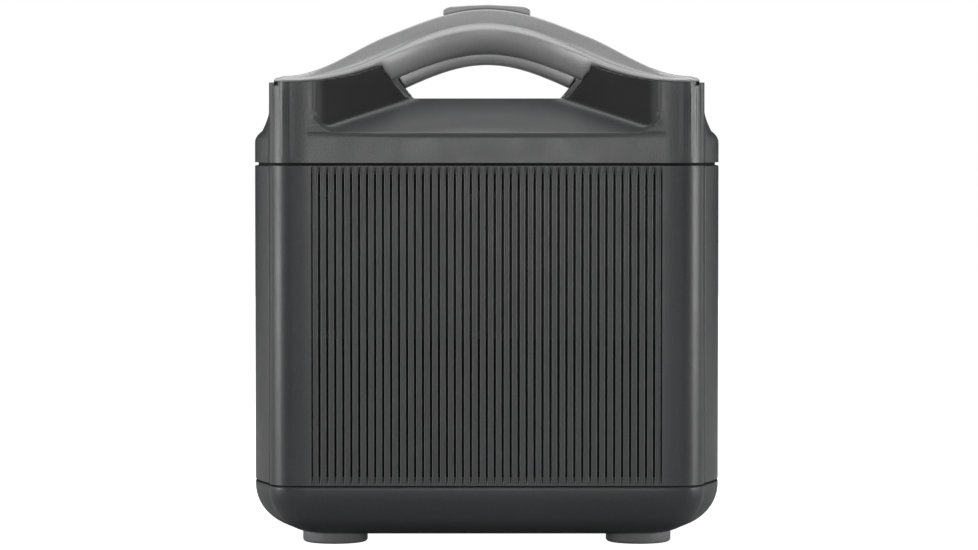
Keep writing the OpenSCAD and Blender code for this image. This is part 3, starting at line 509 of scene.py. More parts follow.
modify(end_wall, "SOLIDIFY", thickness=1 * mm, offset=-1, use_even_offset=False)
ease_corners(end_wall)
smooth(end_wall, 26)


def turned_copy(piece, name):
    """A copy with its own mesh, turned half round to the other end."""
    twin = piece.copy()
    twin.data = piece.data.copy()
    twin.name = twin.data.name = name
    bpy.context.scene.collection.objects.link(twin)
    twin.data.transform(Matrix.Rotation(math.pi, 4, "Z"))
    return twin


shell_plastic = plastic("shell_plastic", (0.030, 0.031, 0.033), 0.38)
# Near-black for the closed groove floors: painted shade, standing in for the shadow deep in the open slots.
groove_painted_shade = plastic("groove_painted_shade", (0.008, 0.008, 0.008), 0.8, 900, 0.05, 0, specular=0.15)
far_wall = turned_copy(end_wall, "end_wall_far")
for wall_piece, node in ((end_wall, "end_shell_near"), (far_wall, "end_shell_far")):
    fit(wall_piece, shell_plastic, "shell_plastic", "housing", node)
    # The groove floors outside the open slots take the painted shade.
    wall_piece.data.materials.append(groove_painted_shade)
    for f in wall_piece.data.polygons:
        if abs(f.center.x) < rib_field and 1.2 * mm < half_l - abs(f.center.y) < 2.2 * mm:
            f.material_index = 1

# ---- Top cap ----
# One moulding closes the body. Its shoulder falls back from the bulged long sides to four posts,
# and a pocket at each end runs in as a ramp between oblique wings, for the fingers under the handle.

cap_z = 187.5 * mm
deck_z = 219 * mm
wing_x, wing_slope = 84.2 * mm, 0.7
ramp_low, ramp_slope = 202 * mm, 35 / 17
pylon_back = 58 * mm
knee = 45 * mm
arch_base, arch_rise, arch_half = 227.6 * mm, 25.4 * mm, 93 * mm


def ease(a, b, t):
    """A smooth step from 0 at a to 1 at b."""
    u = min(1, max(0, (t - a) / (b - a)))
    return u * u * (3 - 2 * u)


def blend_max(a, b, r):
    """The larger of two depths, rounded where they cross."""
    h = max(0, 4 * r - abs(a - b))
    return max(a, b) + h * h / (16 * r)


def blend_min(a, b, r):
    """The smaller of two depths, rounded where they cross."""
    h = max(0, 4 * r - abs(a - b))
    return min(a, b) - h * h / (16 * r)


def pocket_depth(x, z):
    """How far the pocket's surface stands in from the end face."""
    a, b, lip = wing_x - abs(x), z - ramp_low, 12 * mm
    wing = blend_max(0, a * wing_slope, 0.95 * mm)
    ramp = blend_max(0, b * ramp_slope, 1.0 * mm)
    rim = 3 * (max(0, min(a, b) - lip) + lip - math.hypot(max(0, lip - a), max(0, lip - b)))
    return max(0, blend_min(blend_min(ramp, wing, 1.3 * mm), rim, 0.6 * mm))


def setback(x):
    """How far the handle's outer face stands in from the end face."""
    if x > wing_x:
        return 3.2 * mm
    if x > knee:
        return 3.2 * mm + (wing_x - x) * wing_slope
    return 3.2 * mm + (wing_x - knee) * wing_slope + wing_slope * (knee * knee - x * x) / (2 * knee)


def inner_edge(x):
    """Where the handle's inner edge stands, from the end face."""
    mid = setback(0) + 32 * mm
    return pylon_back + (mid - pylon_back) * (1 - ease(6 * mm, 86 * mm, x))


def arch(x):
    """The line along the handle where its front band meets the ledge."""
    return arch_base + (arch_rise * math.cos(math.pi / 2 * x / arch_half) ** 2 if x < arch_half else 0)


def slant(x):
    """The slanted inner end of a wing."""
    return 231.7 * mm + (x - 50.4 * mm) * 1.225


def underside(x):
    """The handle's underside: deep over the opening, shallow on the wings."""
    if x > 51.6 * mm:
        return arch(x) - 1 * mm - 2 * mm * (1 - ease(51 * mm, 84 * mm, x))
    return max(arch(x) - 11.6 * mm, min(slant(x), arch(x) - 3 * mm))


def crest(x):
    """The handle's highest line."""
    return arch(x) + 2 * mm + 8.6 * mm * (1 - ease(50 * mm, 100 * mm, x))


def shoulder(z):
    """The share of the bulge that the cap still has at a height."""
    z = z / mm
    if z < 197.5:
        return 1
    if z < 203:
        return 1 - 0.42 * ((z - 197.5) / 5.5) ** 2
    return 0.58 * max(0, (219 - z) / 16) ** 1.6


def prism(name, outline, axis, start, end):
    """A flat outline pushed along Y or Z into a block."""
    if axis == 1:
        points = [(a, start, b) for a, b in outline]
    else:
        points = [(a, b, start) for a, b in outline]
    mesh = bpy.data.meshes.new(name)
    mesh.from_pydata(points, [], [range(len(points))])
    piece = bpy.data.objects.new(name, mesh)
    bpy.context.scene.collection.objects.link(piece)
    select(piece, "FACE", lambda c, f: True)
    push = (0, end - start, 0) if axis == 1 else (0, 0, end - start)
    bpy.ops.mesh.extrude_region_move(TRANSFORM_OT_translate={"value": push})
    bpy.ops.mesh.select_all(action="SELECT")
    bpy.ops.mesh.normals_make_consistent(inside=False)
    done()
    return piece


cap = body_block("top_cap_shell", cap_z, deck_z, [z * mm for z in (188, 192, 196, 197.5, 198.6, 199.7, 200.8, 201.8,
                 202.5, 203, 204, 205.2, 206.6, 208.2, 210, 212, 214, 216, 218)], shoulder, lambda z: 0)

corner = [(half_w - corner_r + corner_r * math.sin(math.radians(a)),
           -half_l + corner_r - corner_r * math.cos(math.radians(a))) for a in range(0, 91, 6)]
pylon_x = 37.4 * mm
back_xs = [pylon_x + (half_w - 20 * mm - pylon_x) * i / 24 for i in range(24, -1, -1)]
plan = [(pylon_x, -half_l)] + corner + [(half_w, -half_l + pylon_back)] \
    + [(x, -half_l + inner_edge(x)) for x in back_xs]
top_xs = [half_w - (half_w - 50.4 * mm) * i / 40 for i in range(41)]
face = [(half_w + 1 * mm, 190 * mm), (half_w + 1 * mm, underside(half_w) - 0.1 * mm)] \
    + [(x, underside(x) - 0.1 * mm) for x in top_xs] \
    + [(41.6 * mm, slant(41.6 * mm) - 0.1 * mm), (39.9 * mm, deck_z + 0.7 * mm), (38.6 * mm, deck_z + 0.1 * mm),
       (pylon_x, deck_z - 0.1 * mm), (pylon_x, 190 * mm)]
pylon = prism("pylon", plan, 2, 189 * mm, 245 * mm)
carve(pylon, prism("pylon_face", face, 1, -half_l - 1 * mm, -half_l + 90 * mm), "INTERSECT")
for turn_x, turn_y in ((1, 1), (-1, 1), (1, -1), (-1, -1)):
    twin = pylon.copy()
    twin.data = pylon.data.copy()
    bpy.context.scene.collection.objects.link(twin)
    twin.data.transform(Matrix.Diagonal((turn_x, turn_y, 1, 1)))
    if turn_x * turn_y < 0:
        twin.data.flip_normals()
    carve(cap, twin, "UNION")
bpy.data.objects.remove(pylon)

bpy.ops.object.select_all(action="DESELECT")
bpy.ops.mesh.primitive_grid_add(x_subdivisions=172, y_subdivisions=64, size=1, rotation=(math.radians(90), 0, 0),
                                location=(0, -half_l, 220.5 * mm))
bpy.context.object.scale = (172 * mm, 41 * mm, 1)
pocket = new_piece("pocket")
select(pocket, "FACE", lambda c, f: True)
bpy.ops.mesh.extrude_region_move(TRANSFORM_OT_translate={"value": (0, -6 * mm, 0)})
bpy.ops.mesh.select_all(action="SELECT")
bpy.ops.mesh.normals_make_consistent(inside=False)
done()
for v in pocket.data.vertices:
    v.co.z = 200.4 * mm + (v.co.z - 200 * mm) * (0.35 + 0.65 * (v.co.z - 200 * mm) / (41 * mm))
    if v.co.y > -half_l - 1 * mm:
        v.co.y += pocket_depth(v.co.x, v.co.z) - 0.02 * mm
carve(cap, turned_copy(pocket, "pocket_far"))
carve(cap, pocket)
hollow = block("hollow", (-half_w + 3.2 * mm, -half_l + 40 * mm, cap_z - 5 * mm),
               (half_w - 3.2 * mm, half_l - 40 * mm, deck_z - 3 * mm))
carve(cap, hollow)
ease_corners(cap)
# the front band leans back a little under a small bead that follows the ramp's lower edge
lean = math.tan(math.radians(3))
for v in cap.data.vertices:
    if v.co.z > cap_z:
        bead = 0.6 * mm * ease(199.6 * mm, 201.8 * mm, v.co.z) * (1 - ease(76 * mm, 83 * mm, abs(v.co.x)))
        back = lean * (min(v.co.z, deck_z) - cap_z) - bead
        v.co.y -= math.copysign(back * ease(half_l - 50 * mm, half_l - 8 * mm, abs(v.co.y)), v.co.y)
smooth(cap, 24)
cap_plastic = plastic("cap_plastic", (0.046, 0.047, 0.049), 0.36, 1100, 0.06)
fit(cap, cap_plastic, "shell_plastic", "housing", "top_cap")

# The wings are painted darker and rougher: painted shade for the shadow in the pocket under the handle, fading out
# round their edges.
wing_painted_shade = cap.data.attributes.new("wing_painted_shade", "FLOAT", "POINT")
for v in cap.data.vertices:
    x, y, up = v.co.x, v.co.y, v.normal
    inside = ease(wing_x + 1 * mm, wing_x - 6 * mm, abs(x)) * ease(half_l - 62 * mm, half_l - 56 * mm, abs(y))
    across = ease(0.2, 0.5, -up.x * math.copysign(1, x)) * ease(0.6, 0.4, up.z)
    wing_painted_shade.data[v.index].value = inside * across * ease(202 * mm, 206 * mm, v.co.z)
cap_tree = cap_plastic.node_tree
cap_shader = cap_tree.nodes["Principled BSDF"]
cap_grain = next(n for n in cap_tree.nodes if n.type == "GROUP")
# The attribute blends the grain colour towards near-black here: the painted shade on the wings.
share = cap_tree.nodes.new("ShaderNodeAttribute")
share.attribute_name = "wing_painted_shade"
cap_tree.links.new(mix_colour(cap_tree, share.outputs["Fac"], cap_grain.outputs["Colour"], (0.014, 0.014, 0.015, 1)),
                   cap_shader.inputs["Base Color"])
cap_tree.links.new(math_node(cap_tree, "ADD", cap_grain.outputs["Roughness"],
                             math_node(cap_tree, "MULTIPLY", share.outputs["Fac"], 0.5)),
                   cap_shader.inputs["Roughness"])

# ---- Seals ----
# Two thin gaskets of black rubber, set back from the face, that show as the lines of the seams.

seal_rubber = plastic("seal_rubber", (0.006, 0.006, 0.006), 0.75, 600, 0.04, 0.1, specular=0.2)
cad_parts["seam_seals"].data.materials.clear()
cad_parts["seam_seals"].data.materials.append(seal_rubber)

# ---- Handles ----
# Each carrying handle is one painted arch seated on the two wings. Its front band is rounded under,
# a narrow ledge runs along the top of the band, and a steep upper band rises to the broad crest.

handle_end = 103.2 * mm
handle_stations = 96
section_points = 44


def handle_section(x):
    """The outline of the handle at one place: (Y, Z) points from the front band's top round to the ledge."""
    a = abs(x)
    end = ease(98 * mm, handle_end + 0.6 * mm, a)
    front = -half_l + setback(a) + 1.6 * mm * end
    back = -half_l + inner_edge(a) - 2 * mm * end
    low = underside(a) + 0.5 * mm * end
    edge_z = arch(a) - 0.5 * mm * end
    top = crest(a) - 1.0 * mm * end
    tall = edge_z - low
    mid = 1 - ease(45 * mm, 96 * mm, a)
    ledge_up = (1.7 + 1.7 * (1 - ease(20 * mm, 70 * mm, a)) - 0.9 * ease(80 * mm, 100 * mm, a)) * mm
    ledge_in = (1.6 + 1.4 * mid) * mm
    sweep = (0.9 + 1.1 * mid) * mm
    belly = tall * (0.62 + 0.2 * mid)
    round_in = min(5 * mm, (top - low) * 0.3)
    ring = []
    for i in range(11):
        t = math.radians(3 + 87 * i / 10)
        ring.append((front + belly * (1 - math.cos(t)), edge_z - tall * math.sin(t)))
    for i in range(9):
        t = math.radians(90 * i / 8)
        ring.append((back - round_in + round_in * math.sin(t), low + round_in - round_in * math.cos(t)))
    for i in range(9):
        t = math.radians(90 * i / 8)
        ring.append((back - round_in + round_in * math.cos(t), top - round_in + round_in * math.sin(t)))
    rim = front + ledge_in + sweep
    ring += [(rim + 4.5 * mm, top), (rim + 2.6 * mm, top - 0.12 * mm), (rim + 1.4 * mm, top - 0.3 * mm)]
    for i in range(8, 0, -1):
        s = i / 8
        ring.append((front + ledge_in + sweep * s ** 1.3, edge_z + ledge_up + (top - edge_z - ledge_up - 0.7 * mm) * s))
    ring += [(front + ledge_in + 0.12 * mm, edge_z + ledge_up + 0.1 * mm), (front + ledge_in, edge_z + ledge_up),
             (front + ledge_in - 0.25 * mm, edge_z + ledge_up - 0.08 * mm),
             (front + 0.45 * mm, edge_z + 0.62 * mm * ledge_up / (2 * mm)),
             (front + 0.12 * mm, edge_z + 0.22 * mm), (front, edge_z)]
    return ring


ring_size = len(handle_section(0))
bpy.ops.object.select_all(action="DESELECT")
bpy.ops.mesh.primitive_grid_add(x_subdivisions=2 * handle_stations, y_subdivisions=ring_size, size=2)
handle = new_piece("handle_arch_near")
for v in handle.data.vertices:
    along = v.co.x
    place = math.copysign(handle_end * (abs(along) ** 0.94), along)
    ring = handle_section(place)
    step = round((v.co.y + 1) / 2 * ring_size)
    y, z = ring[step % ring_size]
    v.co = (place, y, z)
select(handle, "VERT", lambda c, v: True)
bpy.ops.mesh.remove_doubles(threshold=0.005 * mm)
for end_side in (-1, 1):
    select(handle, "EDGE", lambda c, e: c.x * end_side > handle_end - 1e-6
           and all(abs(v.co.x) > handle_end - 1e-6 for v in e.verts))
    bpy.ops.mesh.edge_face_add()
    bpy.ops.mesh.bevel(offset=0.7 * mm, segments=3)
bpy.ops.mesh.select_all(action="SELECT")
bpy.ops.mesh.normals_make_consistent(inside=False)
done()
carve(handle, join([rod("screw_hole_%d" % s, (s * 78 * mm, -154 * mm, 200 * mm), (s * 78 * mm, -154 * mm, 231.8 * mm),
                        2.05 * mm, 24) for s in (-1, 1)]))
smooth(handle, 30)

# Satin metallic paint: fine bright flakes, with a soft cloudiness.
flake_group, flake_in, flake_out = node_group(
    "metallic_flake",
    [("Colour", "Color", (0.2, 0.2, 0.2, 1)), ("Flake", "Color", (0.5, 0.5, 0.5, 1)), ("Flake Scale", "Float", 2600)],
    [("Colour", "Color"), ("Roughness", "Float"), ("Height", "Float")])
fleck = noise_node(flake_group, flake_in.outputs["Flake Scale"], 1)
cloud = noise_node(flake_group, 18, 3)
bright = math_node(flake_group, "MULTIPLY", math_node(flake_group, "SUBTRACT", fleck, 0.56, clamp=True), 3, clamp=True)
soft = math_node(flake_group, "MULTIPLY", math_node(flake_group, "SUBTRACT", cloud, 0.45, clamp=True), 0.4)
flake_group.links.new(mix_colour(flake_group, math_node(flake_group, "ADD", bright, soft, clamp=True),
                                 flake_in.outputs["Colour"], flake_in.outputs["Flake"]), flake_out.inputs["Colour"])
flake_group.links.new(math_node(flake_group, "ADD", math_node(flake_group, "MULTIPLY", cloud, 0.12), 0.36),
                      flake_out.inputs["Roughness"])
flake_group.links.new(noise_node(flake_group, 700, 2), flake_out.inputs["Height"])


def paint(name, colour, flake, metallic, depth=0.02):
    """A metallic paint on a moulded or cast piece."""
    material = bpy.data.materials.new(name)
    material.use_nodes = True
    tree = material.node_tree
    shader = tree.nodes["Principled BSDF"]
    shader.inputs["Metallic"].default_value = metallic
    flakes = tree.nodes.new("ShaderNodeGroup")
    flakes.node_tree = flake_group
    flakes.inputs["Colour"].default_value = (*colour, 1)
    flakes.inputs["Flake"].default_value = (*flake, 1)
    bump = tree.nodes.new("ShaderNodeBump")
    bump.inputs["Distance"].default_value = depth * mm
    tree.links.new(flakes.outputs["Colour"], shader.inputs["Base Color"])
    tree.links.new(flakes.outputs["Roughness"], shader.inputs["Roughness"])
    tree.links.new(flakes.outputs["Height"], bump.inputs["Height"])
    tree.links.new(bump.outputs["Normal"], shader.inputs["Normal"])
    return material


handle_paint = paint("handle_paint", (0.33, 0.33, 0.332), (0.56, 0.56, 0.56), 0.15)
far_handle = turned_copy(handle, "handle_arch_far")
fit(handle, handle_paint, "handle_grey", "housing", "handle_near")
fit(far_handle, handle_paint, "handle_grey", "housing", "handle_far")


# ---- Handle pads ----
# A low raised pad of paler plastic is seated on the crest of each arch, its underside
# cut to the crest's curve and its rim rounded, so two units can be stacked without rubbing.

pad_reach = 21.8 * mm
pad_front = -half_l + setback(0) + 12.5 * mm
pad_top = [(0, 266), (10, 265.6), (18.3, 265), (20.4, 264.4), (21.8, 263.4)]
pad = block("handle_pad_near_top", (-pad_reach, pad_front, 258 * mm), (pad_reach, pad_front + 14 * mm, 266 * mm))
cut_planes(pad, 0, [pad_reach * i / 12 for i in range(-11, 12)])
for v in pad.data.vertices:
    off = abs(v.co.x) / mm
    if v.co.z < 260 * mm:
        v.co.z = crest(abs(v.co.x)) + 0.05 * mm
    else:
        for (a, low), (b, high) in zip(pad_top, pad_top[1:]):
            if a <= off <= b + 1e-3:
                v.co.z = (low + (high - low) * (off - a) / (b - a)) * mm
ease_edges(pad, 0.9 * mm, 4, 50)
pad_plastic = paint("pad_satin", (0.27, 0.27, 0.272), (0.45, 0.45, 0.45), 0.25)
far_pad = turned_copy(pad, "handle_pad_far_top")
fit(pad, pad_plastic, "pad_grey", "housing", "handle_pad_near")
fit(far_pad, pad_plastic, "pad_grey", "housing", "handle_pad_far")

# ---- Long sides ----
# A moulded plate on each long side bulges past the posts between the two end walls. A shallow
# recess takes the glossy panel, and the openings under it are cut for the sockets and buttons.

side_x = 115
panel_at, panel_size = (0, 144), (272, 66)
display_at, display_size = (-30, 147), (88, 40)
main_button_at, main_button_r = (-104, 147), 10
usb_button_at, dc_button_at, small_button_r = (118, 146), (14, 96), 6.5
usb_a_at = [(44, 135), (44, 157), (66, 135), (66, 157)]
usb_c_at = [(88, 135), (88, 157)]
usb_a_size, usb_c_size = (13.4, 6.2), (9.6, 3.8)
car_at, jack_at = (92, 84), [(40, 96), (60, 96)]
outlet_at = [(y, 134) for y in (-99, -33, 33, 99)]
outlet_size = (44, 48)
ac_button_at, inlet_at, inlet_size = (-112, 72), (96, 72), (30, 22)
solar_at, solar_size, rate_switch_at, breaker_at = (44, 72), (24, 14), (0, 72), (-44, 72)
board_posts = [(-120, 172), (-120, 122), (122, 172), (108, 122)]


def side_box(name, side, x0, x1, at, size):
    """A block on one long side, from one depth to another, centred at (Y, Z). Sizes in millimetres."""
    low, high = sorted((side * x0 * mm, side * x1 * mm))
    return block(name, (low, (at[0] - size[0] / 2) * mm, (at[1] - size[1] / 2) * mm),
                 (high, (at[0] + size[0] / 2) * mm, (at[1] + size[1] / 2) * mm))


def side_rod(name, side, x0, x1, at, radius, sides=64):
    """A round bar on one long side. Sizes in millimetres."""
    return rod(name, (side * x0 * mm, at[0] * mm, at[1] * mm), (side * x1 * mm, at[0] * mm, at[1] * mm),
               radius * mm, sides)


def side_pill(name, side, x0, x1, at, size, radius, segments=12):
    """A block on one long side with rounded corners."""
    pill = side_box(name, side, x0, x1, at, size)
    select(pill, "EDGE", lambda c, e: runs(e, 0))
    bpy.ops.mesh.bevel(offset=radius * mm, segments=segments)
    done()
    return pill


def grown(size, by):
    return size[0] + by, size[1] + by


def side_plate(name, side, recess_at, openings):
    """A bulged plate with its recess and openings."""
    edge = half_l - corner_r - 1 * mm
    bpy.ops.object.select_all(action="DESELECT")
    bpy.ops.mesh.primitive_plane_add(size=1, rotation=(0, math.radians(90), 0),
                                     location=(0, 0, (shell_low + shell_top) / 2))
    bpy.context.object.scale = (shell_top - shell_low, 2 * edge, 1)
    plate = new_piece(name)
    cut_planes(plate, 1, [s * (edge - (flank_run - 1 * mm) * i / 20) for i in range(1, 21) for s in (-1, 1)])
    for v in plate.data.vertices:
        v.co.x = half_w + bulge * flank(v.co.y)
    modify(plate, "SOLIDIFY", thickness=wall, offset=-1)
    if sum(f.normal.x * f.area for f in plate.data.polygons if f.center.x > (side_x - 1) * mm) < 0:
        plate.data.flip_normals()
    select(plate, "EDGE", lambda c, e: c.x > half_w - 0.01 * mm and len(e.link_faces) == 2
           and e.calc_face_angle() > 1 and max(f.normal.x for f in e.link_faces) > 0.6)
    bpy.ops.mesh.bevel(offset=0.5 * mm, segments=3)
    done()
    if side < 0:
        plate.data.transform(Matrix.Diagonal((-1, 1, 1, 1)))
        plate.data.flip_normals()
    carve(plate, side_pill("recess", side, side_x - 1.4, side_x + 4, recess_at, grown(panel_size, 0.6), 10.3))
    carve(plate, join(openings))
    smooth(plate, 30)
    return plate


front_openings = [side_box("o", 1, 106, 122, display_at, grown(display_size, -6)),
                  side_rod("o", 1, 106, 122, main_button_at, main_button_r + 1.2),
                  side_rod("o", 1, 106, 122, usb_button_at, small_button_r + 1),
                  side_rod("o", 1, 106, 122, dc_button_at, small_button_r + 0.4),
                  side_rod("o", 1, 106, 122, car_at, 14.05, 96)]
front_openings += [side_box("o", 1, 106, 122, at, grown(usb_a_size, 0.6)) for at in usb_a_at]
front_openings += [side_box("o", 1, 106, 122, at, grown(usb_c_size, 0.6)) for at in usb_c_at]
front_openings += [side_rod("o", 1, 106, 122, at, 6.05) for at in jack_at]
front_side = side_plate("front_side", 1, panel_at, front_openings)
carve(front_side, join([side_rod("post", 1, side_x - 15.4, side_x - 2.9, at, 3, 24) for at in board_posts]), "UNION")
smooth(front_side, 30)
modify(front_side, "WEIGHTED_NORMAL", keep_sharp=True, weight=90)

outlet_panel_at = (panel_at[0], panel_at[1] - 10)
rear_openings = [side_box("o", -1, 106, 122, at, grown(outlet_size, -6)) for at in outlet_at]
rear_openings += [side_rod("o", -1, 106, 122, ac_button_at, small_button_r + 0.4),
                  side_rod("o", -1, 106, 122, breaker_at, 8.05),
                  side_box("o", -1, 106, 122, rate_switch_at, (13, 5)),
                  side_box("o", -1, 106, 122, inlet_at, grown(inlet_size, 0.1)),
                  side_box("o", -1, 106, 122, solar_at, grown(solar_size, 0.1))]
rear_side = side_plate("rear_side", -1, outlet_panel_at, rear_openings)
modify(rear_side, "WEIGHTED_NORMAL", keep_sharp=True, weight=90)
fit(front_side, shell_plastic, "shell_plastic", "housing", "front_fascia")
fit(rear_side, shell_plastic, "shell_plastic", "housing", "rear_fascia")

# ---- Panels and display ----
# Each side carries a panel of glossy black plastic let into its recess. The front panel frames
# a smoked display window, behind which pale segments show the battery's charge.

panel_gloss = plastic("panel_gloss", (0.011, 0.011, 0.012), 0.26, 1400, 0.008, 0.15, coat=0.6)
port_panel = side_pill("port_panel_plate", 1, side_x - 1.3, side_x + 0.2, panel_at, panel_size, 10)
cutters = [side_box("o", 1, 110, 120, display_at, grown(display_size, 0.4)),
           side_rod("o", 1, 110, 120, main_button_at, main_button_r + 0.4),
           side_rod("o", 1, 110, 120, usb_button_at, small_button_r + 0.4)]
cutters += [side_box("o", 1, 110, 120, at, grown(usb_a_size, 0.2)) for at in usb_a_at]
cutters += [side_box("o", 1, 110, 120, at, grown(usb_c_size, 0.2)) for at in usb_c_at]
carve(port_panel, join(cutters))
ease_edges(port_panel, 0.18 * mm, 2)
fit(port_panel, panel_gloss, "panel_gloss", "housing", "port_panel")

outlet_panel = side_pill("outlet_panel_plate", -1, side_x - 1.3, side_x + 0.2, outlet_panel_at, panel_size, 10)
carve(outlet_panel, join([side_box("o", -1, 110, 120, at, grown(outlet_size, 0.3)) for at in outlet_at]))
ease_edges(outlet_panel, 0.18 * mm, 2)
fit(outlet_panel, panel_gloss, "panel_gloss", "housing", "outlet_panel")

display_glass = plastic("display_glass", (0.006, 0.007, 0.009), 0.12, 40, 0.002, 0, coat=1)
window = side_pill("display_glass_plate", 1, side_x - 1.3, side_x + 0.3, display_at, display_size, 0.8, 4)
ease_edges(window, 0.25 * mm, 2)
fit(window, display_glass, "display_glass", "housing", "display_window")

segment_ink = plastic("segment_ink", (0.35, 0.42, 0.46), 0.4, 300, 0.002, 0)
segment_ink.node_tree.nodes["Principled BSDF"].inputs["Emission Color"].default_value = (0.5, 0.68, 0.78, 1)
segment_ink.node_tree.nodes["Principled BSDF"].inputs["Emission Strength"].default_value = 0.35
ink_x0, ink_x1 = side_x + 0.28, side_x + 0.34
gauge = side_pill("charge_gauge", 1, ink_x0, ink_x1, (display_at[0], display_at[1] - 2), (50, 17), 3, 6)
carve(gauge, side_pill("o", 1, 100, 130, (display_at[0], display_at[1] - 2), (47.6, 14.6), 2, 6))
gauge = join([gauge, side_pill("cap", 1, ink_x0, ink_x1, (display_at[0] + 26.6, display_at[1] - 2), (2.2, 7), 0.8, 4)]
             + [side_pill("bar", 1, ink_x0, ink_x1, (display_at[0] - 18 + 9 * i, display_at[1] - 2), (6.6, 11), 0.8, 4)
                for i in range(4)]
             + [side_pill("tick", 1, ink_x0, ink_x1, (display_at[0] - 36 + 6 * i, display_at[1] + 14), (4, 1.4), 0.6, 4)
                for i in range(13)])
smooth(gauge)
gauge.data.materials.clear()
gauge.data.materials.append(segment_ink)
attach(gauge, "housing")

# ---- Buttons ----
# Round satin buttons stand through the panel with their skirts behind it. Each face has a
# shallow dish with a rounded rim, and the main button's dish holds a raised ring.

button_satin = plastic("button_satin", (0.36, 0.37, 0.385), 0.38, 1200, 0.012, 0.2, coat=0.15)


def button(name, side, face, at, radius, slot_node, material, slot="button_grey", travel_skirt=True):
    """A push button: a stem through the panel, a dished face and the skirt that keeps it in."""
    stem = side_rod(name, side, side_x + face - 8, side_x + face, at, radius, 72)
    tip = side * (side_x + face) * mm
    select(stem, "FACE", lambda c, f: abs(c.x - tip) < 1e-6 and abs(f.normal.x) > 0.9)
    bpy.ops.mesh.inset(thickness=1.3 * mm, depth=0)
    bpy.ops.mesh.inset(thickness=0.5 * mm, depth=-0.35 * mm)
    if radius > 8:
        bpy.ops.mesh.inset(thickness=2.2 * mm, depth=0)
        bpy.ops.mesh.inset(thickness=0.2 * mm, depth=0.3 * mm)
        bpy.ops.mesh.inset(thickness=0.7 * mm, depth=0)
        bpy.ops.mesh.inset(thickness=0.2 * mm, depth=-0.3 * mm)
    select(stem, "EDGE", lambda c, e: abs(c.x - tip) < 1e-6 and len(e.link_faces) == 2
           and min(abs(f.normal.x) for f in e.link_faces) < 0.1)
    bpy.ops.mesh.bevel(offset=0.6 * mm, segments=4)
    done()
    stem = join([stem, side_rod("skirt", side, side_x + face - 10.5, side_x + face - 7.99, at, radius + 1.8, 48)])
    smooth(stem, 35)
    fit(stem, material, slot, slot_node, slot_node)


button("main_button_cap", 1, 1.6, main_button_at, main_button_r, "main_button", button_satin)
button("usb_button_cap", 1, 1.6, usb_button_at, small_button_r, "usb_button", button_satin)
button("dc_button_cap", 1, 1.4, dc_button_at, small_button_r, "dc_button", button_satin)
button("ac_button_cap", -1, 1.4, ac_button_at, small_button_r, "ac_button", button_satin)

# ---- USB sockets ----
# Folded shells of plated steel, open at the front, each with a contact tongue inside.

metal_group, metal_in, metal_out = node_group(
    "drawn_metal",
    [("Colour", "Color", (0.5, 0.5, 0.5, 1)), ("Dull", "Color", (0.3, 0.3, 0.3, 1)), ("Roughness", "Float", 0.3)],
    [("Colour", "Color"), ("Roughness", "Float"), ("Height", "Float")])
lines = noise_node(metal_group, 900, 2, stretch=(0.06, 1, 1))
stain = noise_node(metal_group, 60, 4)
metal_group.links.new(mix_colour(metal_group, math_node(metal_group, "MULTIPLY", stain, 0.55),
                                 metal_in.outputs["Colour"], metal_in.outputs["Dull"]), metal_out.inputs["Colour"])
metal_group.links.new(math_node(metal_group, "ADD", metal_in.outputs["Roughness"],
                                math_node(metal_group, "MULTIPLY", lines, 0.16)), metal_out.inputs["Roughness"])
metal_group.links.new(lines, metal_out.inputs["Height"])


def metal(name, colour, roughness, depth=0.01):
    """Plated, rolled or drawn metal with fine lines and dull patches."""
    material = bpy.data.materials.new(name)
    material.use_nodes = True
    tree = material.node_tree
    shader = tree.nodes["Principled BSDF"]
    shader.inputs["Metallic"].default_value = 1
    drawn = tree.nodes.new("ShaderNodeGroup")
    drawn.node_tree = metal_group
    drawn.inputs["Colour"].default_value = (*colour, 1)
    drawn.inputs["Dull"].default_value = (*[c * 0.6 for c in colour], 1)
    drawn.inputs["Roughness"].default_value = roughness
    bump = tree.nodes.new("ShaderNodeBump")
    bump.inputs["Distance"].default_value = depth * mm
    tree.links.new(drawn.outputs["Colour"], shader.inputs["Base Color"])
    tree.links.new(drawn.outputs["Roughness"], shader.inputs["Roughness"])
    tree.links.new(drawn.outputs["Height"], bump.inputs["Height"])
    tree.links.new(bump.outputs["Normal"], shader.inputs["Normal"])
    return material


port_metal = metal("port_metal", (0.56, 0.56, 0.57), 0.22)


def port_shell(name, at, size, tongue):
    """One socket shell, hollowed from its mouth, with its tongue."""
    mouth = side_x + 0.1
    shell = side_pill(name, 1, mouth - 15.5, mouth, at, size, min(size) * 0.22, 4)
    select(shell, "FACE", lambda c, f: f.normal.x > 0.9)
    bpy.ops.mesh.inset(thickness=0.5 * mm, depth=0)
    bpy.ops.mesh.extrude_region_move(TRANSFORM_OT_translate={"value": (-12.5 * mm, 0, 0)})
    done()
    return join([shell, side_box("tongue", 1, mouth - 13.2, mouth - 1.5, at, tongue)])


usb_a = join([port_shell("usb_a_shells", at, usb_a_size, (11, 1.6)) for at in usb_a_at])
usb_c = join([port_shell("usb_c_shells", at, usb_c_size, (6.6, 0.7)) for at in usb_c_at])
for shell, node in ((usb_a, "usb_a_ports"), (usb_c, "usb_c_ports")):
    smooth(shell, 30)
    fit(shell, port_metal, "port_metal", "housing", node)

# ---- Low-voltage sockets ----
# Two round jacks with a centre pin, and a wide twelve-volt socket with a flange, all moulded
# in black plastic. A rubber cap on a steel pin closes the wide socket.

